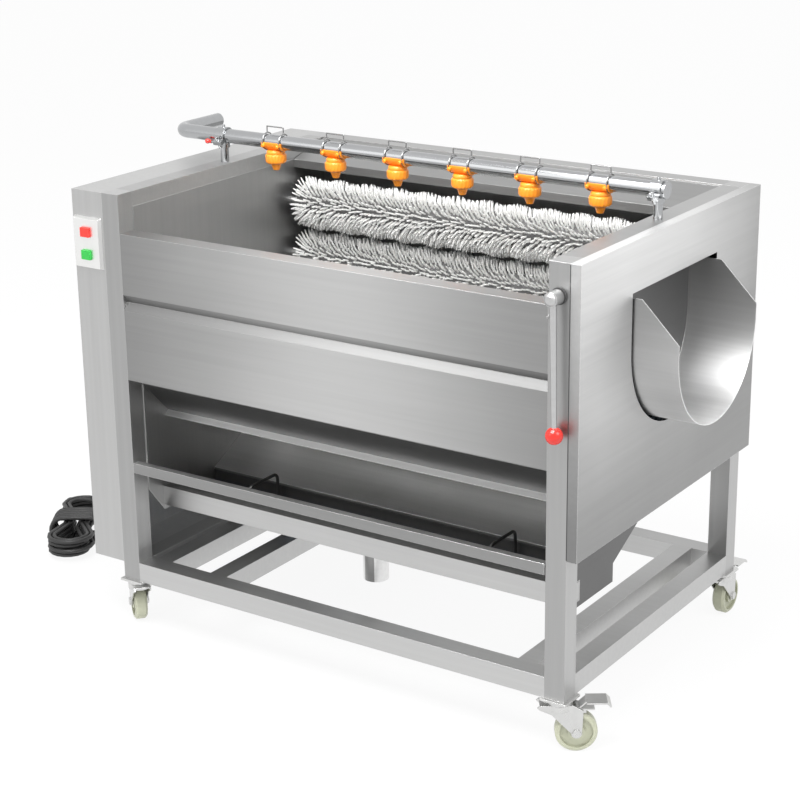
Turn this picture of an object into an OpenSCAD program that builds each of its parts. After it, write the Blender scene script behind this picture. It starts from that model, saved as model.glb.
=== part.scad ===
// Brush-roller potato washing and peeling machine on four casters.
// Millimetres, +Z up, +X towards the discharge end, -Y is the side where the operator stands.
// The drawing frame has its corner at the outer foot of the front left post, and is moved
// at the end so that the origin lies under the middle of the machine, on the floor.

/* [Frame] */
// Width over the posts
frame_w = 960; // [940:5:1100]
// Depth over the posts
frame_d = 660; // [650:5:700]
// Height of the posts
frame_h = 750; // [745:5:790]
// Side of the square tube
tube_w = 38; // [36:1:40]
// Wall of the square tube
tube_wall = 1.5; // [1:0.5:3]
// Thickness of the sheet metal
sheet_t = 1.5; // [1:0.25:2]
// Floor to the underside of the frame
caster_h = 98; // [96:1:105]
// Drop from the posts' top to the top of the mid side rails
mid_rail_drop = 450; // [438:1:454]

/* [Brush rollers] */
// Radius of the ring of roller axes
ring_r = 198; // [192:1:200]
// Drop from the posts' top to the ring's centre
ring_drop = 184; // [180:1:194]
// Distance from one roller axis to the next
roller_gap = 108; // [104:1:110]
// Gap between the bristle tips of two rollers
brush_gap = 1; // [0.6:0.2:4]
// Radius of the brush core
core_r = 33; // [24:1:38]
// Depth of the spiral wave in the bristle tips
wave = 5; // [0:0.5:10]
// Pitch of the spiral wave
wave_pitch = 68; // [50:1:120]
// Radius of a roller shaft
shaft_r = 10; // [8:0.5:12]
// Bristle tufts on each roller
tufts = 64; // [24:1:70]
// Radius of one tuft
tuft_r = 3.5; // [2:0.5:5]
// Space between the end walls and the bristles
brush_end_gap = 22; // [10:1:40]

/* [Chain drive] */
// Teeth of every sprocket
teeth = 16; // [12:4:16]
// Chain pitch
chain_pitch = 12.7; // [12.7:0.1:13]
// Radius of a chain roller
chain_roller_r = 4.2; // [3.5:0.1:4.5]
// Thickness of a sprocket
sprocket_t = 7; // [4:0.5:8]
// Distance between the planes of two chains
plane_gap = 15; // [14:0.5:16]
// Space from the posts to the first chain plane
plane_start = 13; // [12:0.5:14]
// Running clearance, on the radius
run_fit = 0.05; // [0.02:0.01:0.09]
// Clearance between parts that slide past each other
slide_fit = 0.3; // [0.2:0.05:0.5]

/* [Covers and panels] */
// Depth of the drive cover
cover_w = 72; // [70:1:90]
// Height of the drive cover's lower edge
cover_z = 34; // [30:1:40]
// Depth of the pan that closes the right side
pan_w = 19; // [16:1:24]
// Height of the pan from its lower edge to the posts' top
pan_h = 496; // [480:1:510]
// Drop from the posts' top to the front panel's upper flange
flange_drop = 71; // [60:1:80]
// Width of the flange and of the foot
flange_w = 36; // [30:1:36]
// Drop from the posts' top to the middle of the front panel's groove
groove_drop = 199; // [190:1:210]
// Depth of the groove
groove_in = 9; // [4:1:14]
// Drop from the posts' top to the front panel's foot
foot_drop = 346; // [340:1:352]
// Depth of the back ledge
shelf_d = 102; // [90:1:104]
// Fall of the back ledge towards the rollers
shelf_fall = 26; // [10:1:28]
// Height of the turned-down edges
lip_h = 16; // [8:1:17]

/* [Tray and strainer] */
// Height of the tray's front lip
tray_lip_z = 240; // [236:1:250]
// Height of the gutter's floor
gutter_z = 122; // [112:1:124]
// Clear width of the gutter
gutter_w = 117; // [110:1:124]
// Height of the gutter's back wall
gutter_wall_h = 36; // [30:1:40]
// Rise of the tray's floor per unit of depth
floor_share = 0.51; // [0.45:0.01:0.52]
// Outside diameter of the drain stub
drain_d = 47; // [40:1:50]
// Length of the drain stub
drain_h = 65; // [40:1:70]
// Height of the strainer's sides
strainer_h = 24; // [12:1:30]
// Diameter of the strainer's handle wire
handle_d = 6; // [4:0.5:8]

/* [Outlet] */
// Outer radius of the chute's round floor
chute_r = 149; // [140:1:150]
// How far the chute reaches past the end wall
chute_l = 140; // [130:1:160]
// Height of the chute's upper edges above its centre
chute_wall_h = 91; // [80:1:94]
// Radius of the gate's shaft
gate_shaft_r = 8; // [6:0.5:9]
// Length of the lever from its pivot to the middle of the ball
lever_l = 223; // [180:1:240]
// Diameter of the ball knob
ball_d = 29; // [26:1:36]

/* [Water] */
// Outside diameter of the spray pipe
pipe_d = 27; // [24:0.5:28]
// Wall of the spray pipe
pipe_wall = 1.5; // [1:0.25:2.5]
// Height of the spray pipe's axis above the posts
pipe_rise = 50; // [45:1:70]
// Number of spray nozzles
nozzle_count = 6; // [3:1:6]
// Distance between two nozzles
nozzle_pitch = 138; // [110:1:140]
// Diameter of a nozzle's bulb
bulb_d = 40; // [32:1:42]

/* [Controls and cord] */
// Width of the switch station
switch_w = 64; // [58:1:66]
// Height of the switch station
switch_h = 96; // [90:1:110]
// Travel of a push button
button_travel = 4; // [2:0.5:4.5]
// Diameter of the power cord
cord_d = 9; // [7:0.5:9.5]

/* [Casters] */
// Radius of a caster wheel
wheel_r = 36; // [34:1:37]
// Width of a caster wheel
wheel_w = 24; // [20:1:28]
// Trail of a caster
trail = 28; // [24:1:30]
// How far a brake pedal reaches from the swivel axis
pedal_reach = 84; // [80:1:90]

/* [Hidden] */
$fn = 48;
// One overrun serves every cut
over = 2;
// Preview colours
steel = [0.78, 0.79, 0.8];
bright = [0.86, 0.87, 0.88];
dark = [0.32, 0.33, 0.34];
orange = [0.95, 0.5, 0.1];
white = [0.95, 0.95, 0.93];
black = [0.08, 0.08, 0.08];
red = [0.8, 0.08, 0.06];
green = [0.08, 0.6, 0.15];

// Places that several pieces share
mid_y = frame_d / 2;
post_c = tube_w / 2;
inner_x = frame_w - tube_w;
wall_in = tube_w + sheet_t;
wall_in_right = inner_x - sheet_t;
rail_top_z = frame_h - tube_w;
mid_rail_z = frame_h - mid_rail_drop;
ring_z = frame_h - ring_drop;
pan_z = frame_h - pan_h;
flange_z = frame_h - flange_drop;
groove_z = frame_h - groove_drop;
foot_z = frame_h - foot_drop;
pipe_z = frame_h + pipe_rise;
gate_clear = 2.5;
outlet_gap = 8.5;
outlet_shift = 4;
gate_hang = 16;
gate_z = rail_top_z - gate_hang;
gate_x = frame_w - post_c;
gate_t = 2;
gate_gap = 10;
outlet_y = mid_y - outlet_shift;
sheet_clear = 1;
outlet_z = ring_z - 2 * sheet_clear;
chute_in_r = chute_r - sheet_t;
pan_out = frame_w + pan_w;
pan_hole_r = chute_r + outlet_gap;
pan_hole_top = outlet_z + chute_wall_h + outlet_gap;
chute_tip = inner_x + chute_l;

// Roller places: number 1 is the front top one, number 6 the back one, 7 stands on 6
pitch_angle = 2 * asin(roller_gap / 2 / ring_r);
ring_start = 90 - 2.5 * pitch_angle;
brush_r = (roller_gap - brush_gap) / 2;
function ring_dir(k) = -180 + ring_start + (k - 1) * pitch_angle;
function roller_yz(k) = k == 7
    ? roller_yz(6) + [0, roller_gap]
    : [mid_y, ring_z] + ring_r * [cos(ring_dir(k)), sin(ring_dir(k))];
brush_x0 = wall_in + brush_end_gap;
brush_l = wall_in_right - brush_end_gap - brush_x0;

// Chain drive
pitch_r = chain_pitch / 2 / sin(180 / teeth);
tooth_h = 3.6;
tip_r = pitch_r + tooth_h;
hub_r = 18;
tooth_spread_share = 1.4;
plate_h = 4.9;
plate_t = 1.6;
plate_gap = 0.6;
function plane_x(p) = -plane_start - p * plane_gap;
shaft_left = plane_x(2) - sprocket_t;
bearing_l = 16;
bearing_flange_r = 38;
bearing_flange_t = 8;
bearing_boss_r = 24;
bolt_r = 6;
bolt_h = 5;
bolt_ring_share = 0.8;
shaft_right = inner_x + bearing_l + over;

// Gearmotor
motor_y = roller_yz(5)[0];
motor_plate_t = 6;
plate_top = tube_w + motor_plate_t;
motor_r = 62;
motor_l = 230;
motor_z = plate_top + motor_r + over;
cross_x = [50, 181, 850];
gear_w = 90;
gear_d = 112;
gear_h = 124;
gear_x = 62;
drive_shaft_r = 12;
gear_bore_l = 30;

// Tray
slope_h = 53;
tray_slope_z = gutter_z + slope_h;
gutter_y = 117;
gutter_back = gutter_y + gutter_w;
tray_break_z = gutter_z + gutter_wall_h;
tray_back_gap = 4;
tray_end_y = frame_d - tube_w - tray_back_gap;
function floor_z(y) = tray_break_z + floor_share * (y - gutter_back);
lip_w = 12;
lip_fall = 18;
tray_path = [[0, tray_lip_z - lip_fall], [0, tray_lip_z], [lip_w, tray_lip_z], [gutter_y, tray_slope_z],
    [gutter_y, gutter_z], [gutter_back, gutter_z], [gutter_back, tray_break_z],
    [tray_end_y, floor_z(tray_end_y)]];
gutter_rail_y = gutter_y - tube_w;
gutter_rail_z = 132;
drain_x = frame_w / 2;
drain_in = 35;
drain_y = gutter_y + drain_in;
drain_wall = 2;
strainer_foot = 8;
hole_r = 4;
hole_gap = 30;
handle_x = [206, 735];
handle_h = 50;

// Sheets
wall_drop = 28;
wall_top_z = frame_h - wall_drop;
groove_h = 15;
back_panel_z = floor_z(tray_end_y) - lip_h;
shelf_drop = 2;
deflector_reach = 69;
deflector_fall = 71;
hem = 9;

// Origin under the middle of the machine, on the floor
elbow_out = 19.5;
elbow_x = -cover_w - elbow_out;
elbow_r = 24;
inlet_l = 120;
lever_y = -20;
origin_x = (chute_tip + elbow_x - pipe_d / 2) / 2;
origin_y = (frame_d - post_c + pedal_reach + lever_y - ball_d / 2) / 2;

// Rollers and brushes
collar_t = 4;
collar_r = 20;
golden_turn = 137.5;

// Gearmotor
motor_end_l = 26;
fin_h = 6;
fin_t = 4;
fin_count = 20;
box_w = 70;
box_h = 30;
gear_foot_d = 150;
gear_foot_t = 10;

// Gate and lever
chute_cut = 68;
strap_w = 22;
bush_r = 11;
bush_flange_t = 3;
hub_gap = 6;
lever_hub_l = 17;
lever_hub_r = 12;
dome_h = 5;
dome_r = 10;
lever_lean = 1.3;
stop_fall = 5;
stop_w = 6;
stop_h = 33;
stop_t = 3;
stop_out = 9;
stop_pin_r = 2;
rod_r = 6;
rod_tip_r = 4.5;
bracket_y = outlet_y + chute_r + gate_gap;
bracket_t = 12;

// Spray pipe
cap_t = 3;
cap_lip = 1.5;
spray_r = 2.5;
nozzle_shift = 7.5;
saddle_t = 3;
saddle_l = 45;
wire_r = 1.25;
clip_gap = 38;
bail_h = 12;
nozzle_h = 39.5;
neck_r = 10;
nozzle_tip_r = 7.5;
support_r = 8;
band_t = 3;
pipe_end = gate_x + support_r + 2 * band_t;
band_w = 20;
lug_t = 8;
lug_h = 9;
lug_turn = 120;
socket_h = 6;
clamp_l = 26;
clamp_rod_r = 2.2;
clamp_ball_r = 4.5;
clamp_screw_r = 3;
clamp_screw_h = 4;

// Switch station
switch_x = -cover_w / 2;
switch_z = frame_h - switch_h;
switch_t = 8;
switch_slope = 3;
switch_rim = [7, 9];
switch_box_w = switch_w - 2 * switch_rim[0];
switch_box_h = switch_h - 2 * switch_rim[1];
switch_box_d = 40;
button_w = 20;
button_h = 17;
button_gap = 42;
button_out = 5;
button_depth = 14;

// Cord, and the points of its free run
gland_y = 600;
gland_z = 110;
gland_r = 9;
gland_out = 14;
gland_nut_t = 5;
cord_route = [[-150, 598, 100], [-210, 590, 60], [-270, 580, 5], [-330, 560, -35], [-385, 520, -50]];
hank_place = [-375, 265];
hank_dir = -57;
hank_turns = 2;
hank_layers = 4;
hank_run = 170;
hank_in = 3 * cord_d;
hank_gap = 1.2;
hank_step = cord_d + hank_gap;
hank_waist = hank_step / 2;
wrap_turns = 6;
wrap_flat = 25;
wrap_r = 26.1;
wrap_z = wrap_r + cord_d / 2;
hank_top = wrap_z + (hank_layers - 1) / 2 * hank_step;
plug_l = 56;
plug_r = 14;
plug_neck_r = 11;
plug_sleeve_r = 7;
pin_r = 2.4;
pin_l = 19;
pin_gap = 19;

// Casters
plate_side = 50;
caster_plate_t = 4;
race_z = 10;
race_r = 22;
kingpin_r = 5;
pin_end_z = 24;
pin_head = 4;
pin_head_t = 3;
fork_gap = 1.5;
fork_back = 34;
fork_round = 4;
fork_heel = 14;
fork_drop = 17;
cheek_t = 2.5;
axle_r = 4;
axle_boss_r = 9;
hub_share = 0.4;
rim_share = 0.78;
web_share = 0.6;
tread_round = 4;
pedal_x = 30;
pedal_z = -20.5;
pedal_pin_r = 2.5;
pedal_sleeve_r = 4.5;
pedal_t = 2.5;
pedal_lip = 6;
pedal_w = 36;
pedal_knee = 14;
pedal_top_z = -5;
pedal_tab = 28;
shoe_x = 8;
shoe_l = 6;
shoe_h = 5.1;

// Shared helpers

// Draws its children in the drawing frame, moved to the machine's own origin
module placed() { translate([-origin_x, -origin_y, caster_h]) children(); }

// A profile drawn in Y and Z, run along X
module along_x(x0, x1) { translate([x0, 0, 0]) rotate([90, 0, 90]) linear_extrude(x1 - x0) children(); }

// A profile drawn in X and Z, run along Y
module along_y(y0, y1) { translate([0, y1, 0]) rotate([90, 0, 0]) linear_extrude(y1 - y0) children(); }

// A round bar along X
module bar_x(x0, x1, r) { translate([x0, 0, 0]) rotate([0, 90, 0]) cylinder(r = r, h = x1 - x0); }

// A round bar along Y
module bar_y(y0, y1, r) { translate([0, y1, 0]) rotate([90, 0, 0]) cylinder(r = r, h = y1 - y0); }

// Folded sheet: a path of corner points, thickened to its left with mitred corners
function unit(v) = v / norm(v);
function left_of(v) = [-v[1], v[0]];
function corner(p, i, t) =
    let (n = len(p))
    let (a = left_of(unit(i == 0 ? p[1] - p[0] : p[i] - p[i - 1])))
    let (b = i == n - 1 || i == 0 ? a : left_of(unit(p[i + 1] - p[i])))
    p[i] + t * (a + b) / (1 + a * b);
function folded(p, t) = concat(p, [for (i = [len(p) - 1:-1:0]) corner(p, i, t)]);

// Square tube between two planes along one axis, open at both ends
module tube_profile() {
    difference() {
        square(tube_w);
        translate([tube_wall, tube_wall]) square(tube_w - 2 * tube_wall);
    }
}
module tube_x(y, z, x0, x1) { translate([0, y, z]) along_x(x0, x1) tube_profile(); }
module tube_y(x, z, y0, y1) { translate([x, 0, z]) along_y(y0, y1) tube_profile(); }

// Round channel outline in Y and Z: straight sides above a half circle
module channel(r, top) {
    difference() {
        circle(r);
        translate([-r - over, 0]) square([2 * (r + over), r + over]);
    }
    translate([-r, 0]) square([2 * r, top]);
}

// Welded frame

// Four posts, closed at the top; the front right one carries the gate's shaft and the lever's stop
module corner_posts() {
    color(steel) difference() {
        for (x = [0, inner_x], y = [0, frame_d - tube_w]) translate([x, y, 0]) difference() {
            cube([tube_w, tube_w, frame_h]);
            translate([tube_wall, tube_wall, -over])
                cube([tube_w - 2 * tube_wall, tube_w - 2 * tube_wall, frame_h + over - tube_wall]);
        }
        translate([gate_x, 0, gate_z]) bar_y(-over, tube_w + over, bush_r + run_fit);
    }
    color(bright) translate([inner_x, 0, gate_z - stop_fall]) {
        translate([0, -stop_t, -stop_h]) cube([stop_w, stop_t, stop_h]);
        for (z = [-stop_w / 2, stop_w / 2 - stop_h])
            translate([stop_w / 2, 0, z]) bar_y(-stop_out, 0, stop_pin_r);
    }
}

// Rails at floor level, with three cross rails
module bottom_rails() {
    color(steel) {
        for (y = [0, frame_d - tube_w]) tube_x(y, 0, tube_w, inner_x);
        for (x = concat([0, inner_x], cross_x)) tube_y(x, 0, tube_w, frame_d - tube_w);
    }
}

// Side rails halfway up, the rails round the top, and the rail that carries the gutter
module upper_rails() {
    color(steel) {
        for (x = [0, inner_x], z = [mid_rail_z - tube_w, rail_top_z])
            tube_y(x, z, tube_w, frame_d - tube_w);
        tube_x(frame_d - tube_w, rail_top_z, tube_w, inner_x);
        tube_x(gutter_rail_y, gutter_rail_z, tube_w, inner_x);
    }
}

// Plate across two cross rails, under the gearmotor
module motor_plate() {
    color(steel) translate([cross_x[0], motor_y - gear_d, tube_w])
        cube([cross_x[1] + tube_w - cross_x[0], 2 * gear_d, motor_plate_t]);
}

// Sheet metal

// Outline of an end wall in Y and Z: its lower edge follows the tray
module end_outline() {
    skirt = sheet_t;
    polygon([[tube_w, wall_top_z], [tube_w, tray_slope_z], [gutter_rail_y, gutter_z],
        [gutter_back + skirt, gutter_z], [gutter_back + skirt, tray_break_z - skirt],
        [frame_d - tube_w, floor_z(frame_d - tube_w) - skirt], [frame_d - tube_w, wall_top_z]]);
}
// Holes for the roller shafts, clear of the shafts
module shaft_holes() {
    for (k = [1:7]) translate(roller_yz(k)) circle(shaft_r + slide_fit);
}
module rail_hole() {
    translate([gutter_rail_y, gutter_rail_z]) square(tube_w);
}
module left_end_wall() {
    color(steel) along_x(tube_w, wall_in) difference() {
        end_outline();
        shaft_holes();
        rail_hole();
    }
}
module right_end_wall() {
    color(steel) along_x(wall_in_right, inner_x) difference() {
        end_outline();
        shaft_holes();
        rail_hole();
        translate([outlet_y, outlet_z]) channel(chute_in_r, chute_wall_h + sheet_t);
    }
}

// Pan over the right side, open towards the frame, with the round-bottomed outlet
module side_panel() {
    color(bright) difference() {
        translate([frame_w, 0, pan_z]) cube([pan_w, frame_d, frame_h - pan_z]);
        translate([frame_w - over, sheet_t, pan_z + sheet_t])
            cube([pan_w + over - sheet_t, frame_d - 2 * sheet_t, frame_h - pan_z - 2 * sheet_t]);
        along_x(frame_w, pan_out + over) translate([mid_y, outlet_z])
            channel(pan_hole_r, pan_hole_top - outlet_z);
    }
}

// Box over the chain drive, open towards the frame
module drive_cover() {
    color(bright) difference() {
        translate([-cover_w, 0, cover_z]) cube([cover_w, frame_d, frame_h - cover_z]);
        translate([sheet_t - cover_w, sheet_t, cover_z + sheet_t])
            cube([cover_w + over, frame_d - 2 * sheet_t, frame_h - cover_z - 2 * sheet_t]);
        translate([switch_x - switch_box_w / 2 - slide_fit, -over, switch_z - switch_box_h / 2 - slide_fit])
            cube([switch_box_w + 2 * slide_fit, over + sheet_t + over, switch_box_h + 2 * slide_fit]);
        translate([-cover_w, gland_y, gland_z]) bar_x(-over, over + sheet_t, gland_r + run_fit);
    }
}

// Front panel folded from one sheet: flange, face with a stiffening groove, and foot
module front_panel() {
    path = [[flange_w, flange_z], [0, flange_z], [0, groove_z + groove_h], [groove_in, groove_z],
        [0, groove_z - groove_h], [0, foot_z], [flange_w, foot_z]];
    color(steel) along_x(tube_w, inner_x) polygon(folded(path, sheet_t));
}

// Plain sheet across the back
module back_panel() {
    color(steel) translate([tube_w, frame_d - sheet_t, back_panel_z])
        cube([inner_x - tube_w, sheet_t, rail_top_z - back_panel_z]);
}

// Sloping shelf behind the rollers, with its edge turned down
module back_ledge() {
    y0 = frame_d - tube_w;
    z0 = frame_h - shelf_drop;
    path = [[y0, z0], [y0 - shelf_d, z0 - shelf_fall], [y0 - shelf_d, z0 - shelf_fall - lip_h]];
    color(steel) along_x(wall_in, wall_in_right) difference() {
        polygon(folded(path, sheet_t));
        translate([y0, z0 - tube_w]) square(2 * tube_w);
    }
}

// Sloping deflector under the front panel, with its hem folded back
module deflector() {
    y0 = flange_w - sheet_t;
    y1 = y0 + deflector_reach;
    z1 = foot_z - lip_h - deflector_fall;
    path = [[y0, foot_z], [y0, foot_z - lip_h], [y1, z1], [y1 - hem, z1 - hem]];
    color(steel) along_x(wall_in, wall_in_right) polygon(folded(path, sheet_t));
}

// Peel tray folded from one sheet, with its gutter and the drain stub welded in
module hopper_tray() {
    color(bright) difference() {
        union() {
            along_x(wall_in, wall_in_right) polygon(folded(tray_path, sheet_t));
            translate([drain_x, drain_y, gutter_z - drain_h]) cylinder(d = drain_d, h = drain_h);
        }
        translate([drain_x, drain_y, gutter_z - drain_h - over])
            cylinder(d = drain_d - 2 * drain_wall, h = drain_h + sheet_t + 2 * over);
    }
}

// Perforated strainer that lies in the gutter, with two wire handles
module strainer() {
    y0 = gutter_y + sheet_t + slide_fit + sheet_clear;
    y1 = gutter_back - sheet_t - slide_fit - sheet_clear;
    z0 = gutter_z + sheet_t + slide_fit + strainer_foot;
    x0 = wall_in + sheet_clear;
    x1 = wall_in_right - sheet_clear;
    count = floor((x1 - x0) / hole_gap) - 1;
    path = [[y0, z0 + strainer_h], [y0, z0], [y1, z0], [y1, z0 + strainer_h]];
    color(bright) {
        difference() {
            along_x(x0, x1) polygon(folded(path, sheet_t));
            for (i = [1:count], y = [y0 + gutter_w / 4, y1 - gutter_w / 4])
                translate([x0 + i * hole_gap, y, z0 - over])
                cylinder(r = hole_r, h = 2 * over + sheet_t, $fn = 8);
        }
        for (x = handle_x) wire_handle(x, y0 + 2 * handle_d, y1 - 2 * handle_d, z0 + sheet_t);
    }
    // Feet that hold the strainer off the gutter's floor
    color(bright) for (x = [x0, x1 - sheet_t]) translate([x, y0 + handle_d, gutter_z + sheet_t + slide_fit])
        cube([sheet_t, y1 - y0 - 2 * handle_d, strainer_foot]);
}
// Wire bent into a bridge with round corners, its feet on the strainer
module wire_handle(x, y0, y1, z) {
    r = handle_d / 2;
    bend = 2 * handle_d;
    translate([x, 0, z]) {
        for (y = [y0, y1]) translate([0, y, 0]) cylinder(r = r, h = handle_h - bend);
        for (s = [[y0 + bend, 90], [y1 - bend, 0]]) translate([0, s[0], handle_h - bend])
            rotate([90, 0, 90]) rotate([0, 0, s[1]])
            rotate_extrude(angle = 90) translate([bend, 0]) circle(r, $fn = 24);
        translate([0, 0, handle_h]) bar_y(y0 + bend, y1 - bend, r);
    }
}

// Outlet

// Round-bottomed chute, its upper corners cut off towards the tip
module chute() {
    top = outlet_z + chute_wall_h;
    low = outlet_z - chute_r - over;
    color(bright) intersection() {
        along_x(inner_x, chute_tip) translate([outlet_y, outlet_z]) difference() {
            channel(chute_r, chute_wall_h);
            channel(chute_in_r, chute_wall_h + over);
        }
        along_y(outlet_y - chute_r - over, outlet_y + chute_r + over)
            polygon([[inner_x - over, low], [inner_x - over, top], [chute_tip - chute_cut, top],
                [chute_tip, top - chute_cut], [chute_tip + over, low]]);
    }
}

// Gate plate hung by two straps from its shaft
module discharge_gate() {
    plate_x = gate_x - gate_shaft_r;
    color(steel) {
        along_x(plate_x - gate_t / 2, plate_x + gate_t / 2) {
            translate([outlet_y, outlet_z]) channel(chute_in_r - gate_clear, chute_wall_h);
            for (s = [-1, 1]) translate([outlet_y + s * chute_r / 2 - strap_w / 2, outlet_z])
                square([strap_w, gate_z - outlet_z]);
        }
        translate([gate_x, 0, gate_z]) bar_y(-hub_gap, bracket_y + bracket_t + over, gate_shaft_r);
    }
}

// Tapered lever with its hub and domed screw
module discharge_lever() {
    hub_front = lever_y - lever_hub_l / 2;
    color(bright) translate([gate_x, 0, gate_z]) {
        bar_y(hub_front, -hub_gap, lever_hub_r);
        intersection() {
            bar_y(hub_front - dome_h, hub_front, dome_r);
            translate([0, hub_front + dome_h, 0]) sphere(r = dome_r + over);
        }
        translate([0, lever_y, 0]) rotate([0, 180 - lever_lean, 0])
            cylinder(r1 = rod_r, r2 = rod_tip_r, h = lever_l);
    }
}

// Ball knob with a blind hole for the lever's tip
module lever_ball() {
    color(red) translate([gate_x, lever_y, gate_z]) rotate([0, 180 - lever_lean, 0]) difference() {
        translate([0, 0, lever_l]) sphere(d = ball_d);
        cylinder(r1 = rod_r + run_fit, r2 = rod_tip_r + run_fit, h = lever_l);
    }
}

// Flanged bush through the front post, and the bracket at the shaft's far end
module gate_bushes() {
    color(dark) difference() {
        translate([gate_x, 0, gate_z]) {
            bar_y(-bush_flange_t, tube_w + bush_flange_t, bush_r);
            bar_y(-bush_flange_t, 0, bush_r + bush_flange_t);
        }
        translate([gate_x, 0, gate_z]) bar_y(-hub_gap, tube_w + hub_gap, gate_shaft_r + run_fit);
    }
    color(dark) difference() {
        translate([gate_x - post_c + over, bracket_y, gate_z - bush_r - bush_flange_t])
            cube([tube_w - 2 * over, bracket_t, rail_top_z - gate_z + bush_r + bush_flange_t]);
        translate([gate_x, 0, gate_z])
            bar_y(bracket_y - over, bracket_y + bracket_t + over, gate_shaft_r + run_fit);
    }
}

// Spray pipe

// The pipe's run, as a solid of one radius
module pipe_run(r, end_x, inlet) {
    translate([0, mid_y, pipe_z]) bar_x(elbow_x + elbow_r, end_x, r);
    translate([elbow_x + elbow_r, mid_y + elbow_r, pipe_z]) rotate([0, 0, 180])
        rotate_extrude(angle = 90) translate([elbow_r, 0]) circle(r);
    translate([elbow_x, 0, pipe_z]) bar_y(mid_y + elbow_r, mid_y + inlet, r);
}
function nozzle_x(i) = frame_w / 2 + nozzle_shift + (i - (nozzle_count - 1) / 2) * nozzle_pitch;

// Pipe with its elbow, open inlet, welded end cap and spray holes
module spray_pipe() {
    color(bright) difference() {
        union() {
            pipe_run(pipe_d / 2, pipe_end, inlet_l);
            translate([0, mid_y, pipe_z]) bar_x(pipe_end, pipe_end + cap_t, pipe_d / 2 + cap_lip);
        }
        pipe_run(pipe_d / 2 - pipe_wall, pipe_end, inlet_l + over);
        for (i = [0:nozzle_count - 1]) translate([nozzle_x(i), mid_y, pipe_z - pipe_d])
            cylinder(r = spray_r, h = pipe_d);
    }
}

// Two rods on the top rails, each with a clamp round the pipe; a small lever tightens the left one
module pipe_supports() {
    band_r = pipe_d / 2 + band_t;
    socket_r = support_r + band_t;
    color(bright) for (x = [post_c, gate_x]) translate([x, mid_y, 0]) {
        difference() {
            union() {
                translate([0, 0, frame_h]) cylinder(r = support_r, h = pipe_z - frame_h);
                translate([0, 0, pipe_z - band_r - socket_h]) cylinder(r = socket_r, h = band_r + socket_h);
                translate([0, 0, pipe_z]) {
                    bar_x(-band_w / 2, band_w / 2, band_r);
                    rotate([lug_turn, 0, 0]) clamp_lug(band_r);
                    translate([0, 0, band_r - over]) cylinder(r = clamp_screw_r, h = clamp_screw_h + over);
                }
            }
            translate([0, 0, pipe_z]) bar_x(-band_w, band_w, pipe_d / 2 + run_fit);
        }
    }
    color(bright) translate([post_c, mid_y, pipe_z]) rotate([lug_turn, 0, 0])
        translate([0, 0, band_r + lug_h / 2]) {
            bar_x(-clamp_l, 0, clamp_rod_r);
            translate([-clamp_l, 0, 0]) sphere(r = clamp_ball_r);
        }
}
// Lug on the clamp band with its cross screw
module clamp_lug(band_r) {
    translate([-band_w / 2, -lug_t / 2, 0]) cube([band_w, lug_t, band_r + lug_h]);
    translate([0, 0, band_r + lug_h / 2]) bar_y(-lug_t - bolt_h, lug_t + bolt_h, bolt_r / 2);
}

// Places of the clip wires along a nozzle
module at_nozzles() {
    for (i = [0:nozzle_count - 1]) translate([nozzle_x(i), mid_y, pipe_z]) children();
}
clip_r = pipe_d / 2 + saddle_t - wire_r / 2;

// One nozzle: saddle under the pipe, neck, bulb and cone
module nozzle() {
    top = -pipe_d / 2;
    bulb_r = bulb_d / 2;
    bulb_z = top - bulb_r + wire_r;
    tip_z = top - nozzle_h;
    arc = [for (a = [45:-15:-45]) [bulb_r * cos(a), bulb_z + bulb_r * sin(a)]];
    difference() {
        union() {
            intersection() {
                bar_x(-saddle_l / 2, saddle_l / 2, pipe_d / 2 + saddle_t);
                translate([-saddle_l, -pipe_d, -2 * pipe_d]) cube([2 * saddle_l, 2 * pipe_d, 2 * pipe_d]);
            }
            rotate_extrude() polygon(concat([[0, top + over], [neck_r, top + over], [neck_r, top - saddle_t]],
                arc, [[nozzle_tip_r, tip_z], [0, tip_z]]));
        }
        bar_x(-saddle_l, saddle_l, pipe_d / 2 + run_fit);
        translate([0, 0, tip_z - over]) cylinder(r = spray_r, h = nozzle_h + 2 * over);
        clip_rings(wire_r + run_fit);
    }
}
module clip_rings(r) {
    for (s = [-1, 1]) translate([s * clip_gap / 2, 0, 0]) rotate([0, 90, 0])
        rotate_extrude() translate([clip_r, 0]) circle(r, $fn = 24);
}
module nozzles() { color(orange) at_nozzles() nozzle(); }

// Wire clips: two rings joined by a bail over the pipe
module nozzle_clips() {
    color(bright) at_nozzles() {
        clip_rings(wire_r);
        for (s = [-1, 1]) translate([s * clip_gap / 2, 0, clip_r]) {
            cylinder(r = wire_r, h = bail_h);
            translate([0, 0, bail_h]) sphere(r = wire_r);
        }
        translate([0, 0, clip_r + bail_h]) bar_x(-clip_gap / 2, clip_gap / 2, wire_r);
    }
}

// Rollers and brushes

// Sprocket outline: round seats at the pitch circle, opening between tapered teeth
module sprocket_outline() {
    seat = chain_roller_r + run_fit;
    spread = seat * tooth_spread_share;
    difference() {
        circle(tip_r);
        for (i = [0:teeth - 1]) rotate(i * 360 / teeth) {
            translate([pitch_r, 0]) circle(seat);
            polygon([[pitch_r, -seat], [tip_r + over, -spread], [tip_r + over, spread], [pitch_r, seat]]);
        }
    }
}
module sprocket(p) { along_x(plane_x(p) - sprocket_t / 2, plane_x(p) + sprocket_t / 2) sprocket_outline(); }

// Chain planes in which a roller has a sprocket
function planes(k) = k == 1 ? [0] : k == 7 ? [1] : k == 5 ? [0, 1, 2] : [0, 1];

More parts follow.
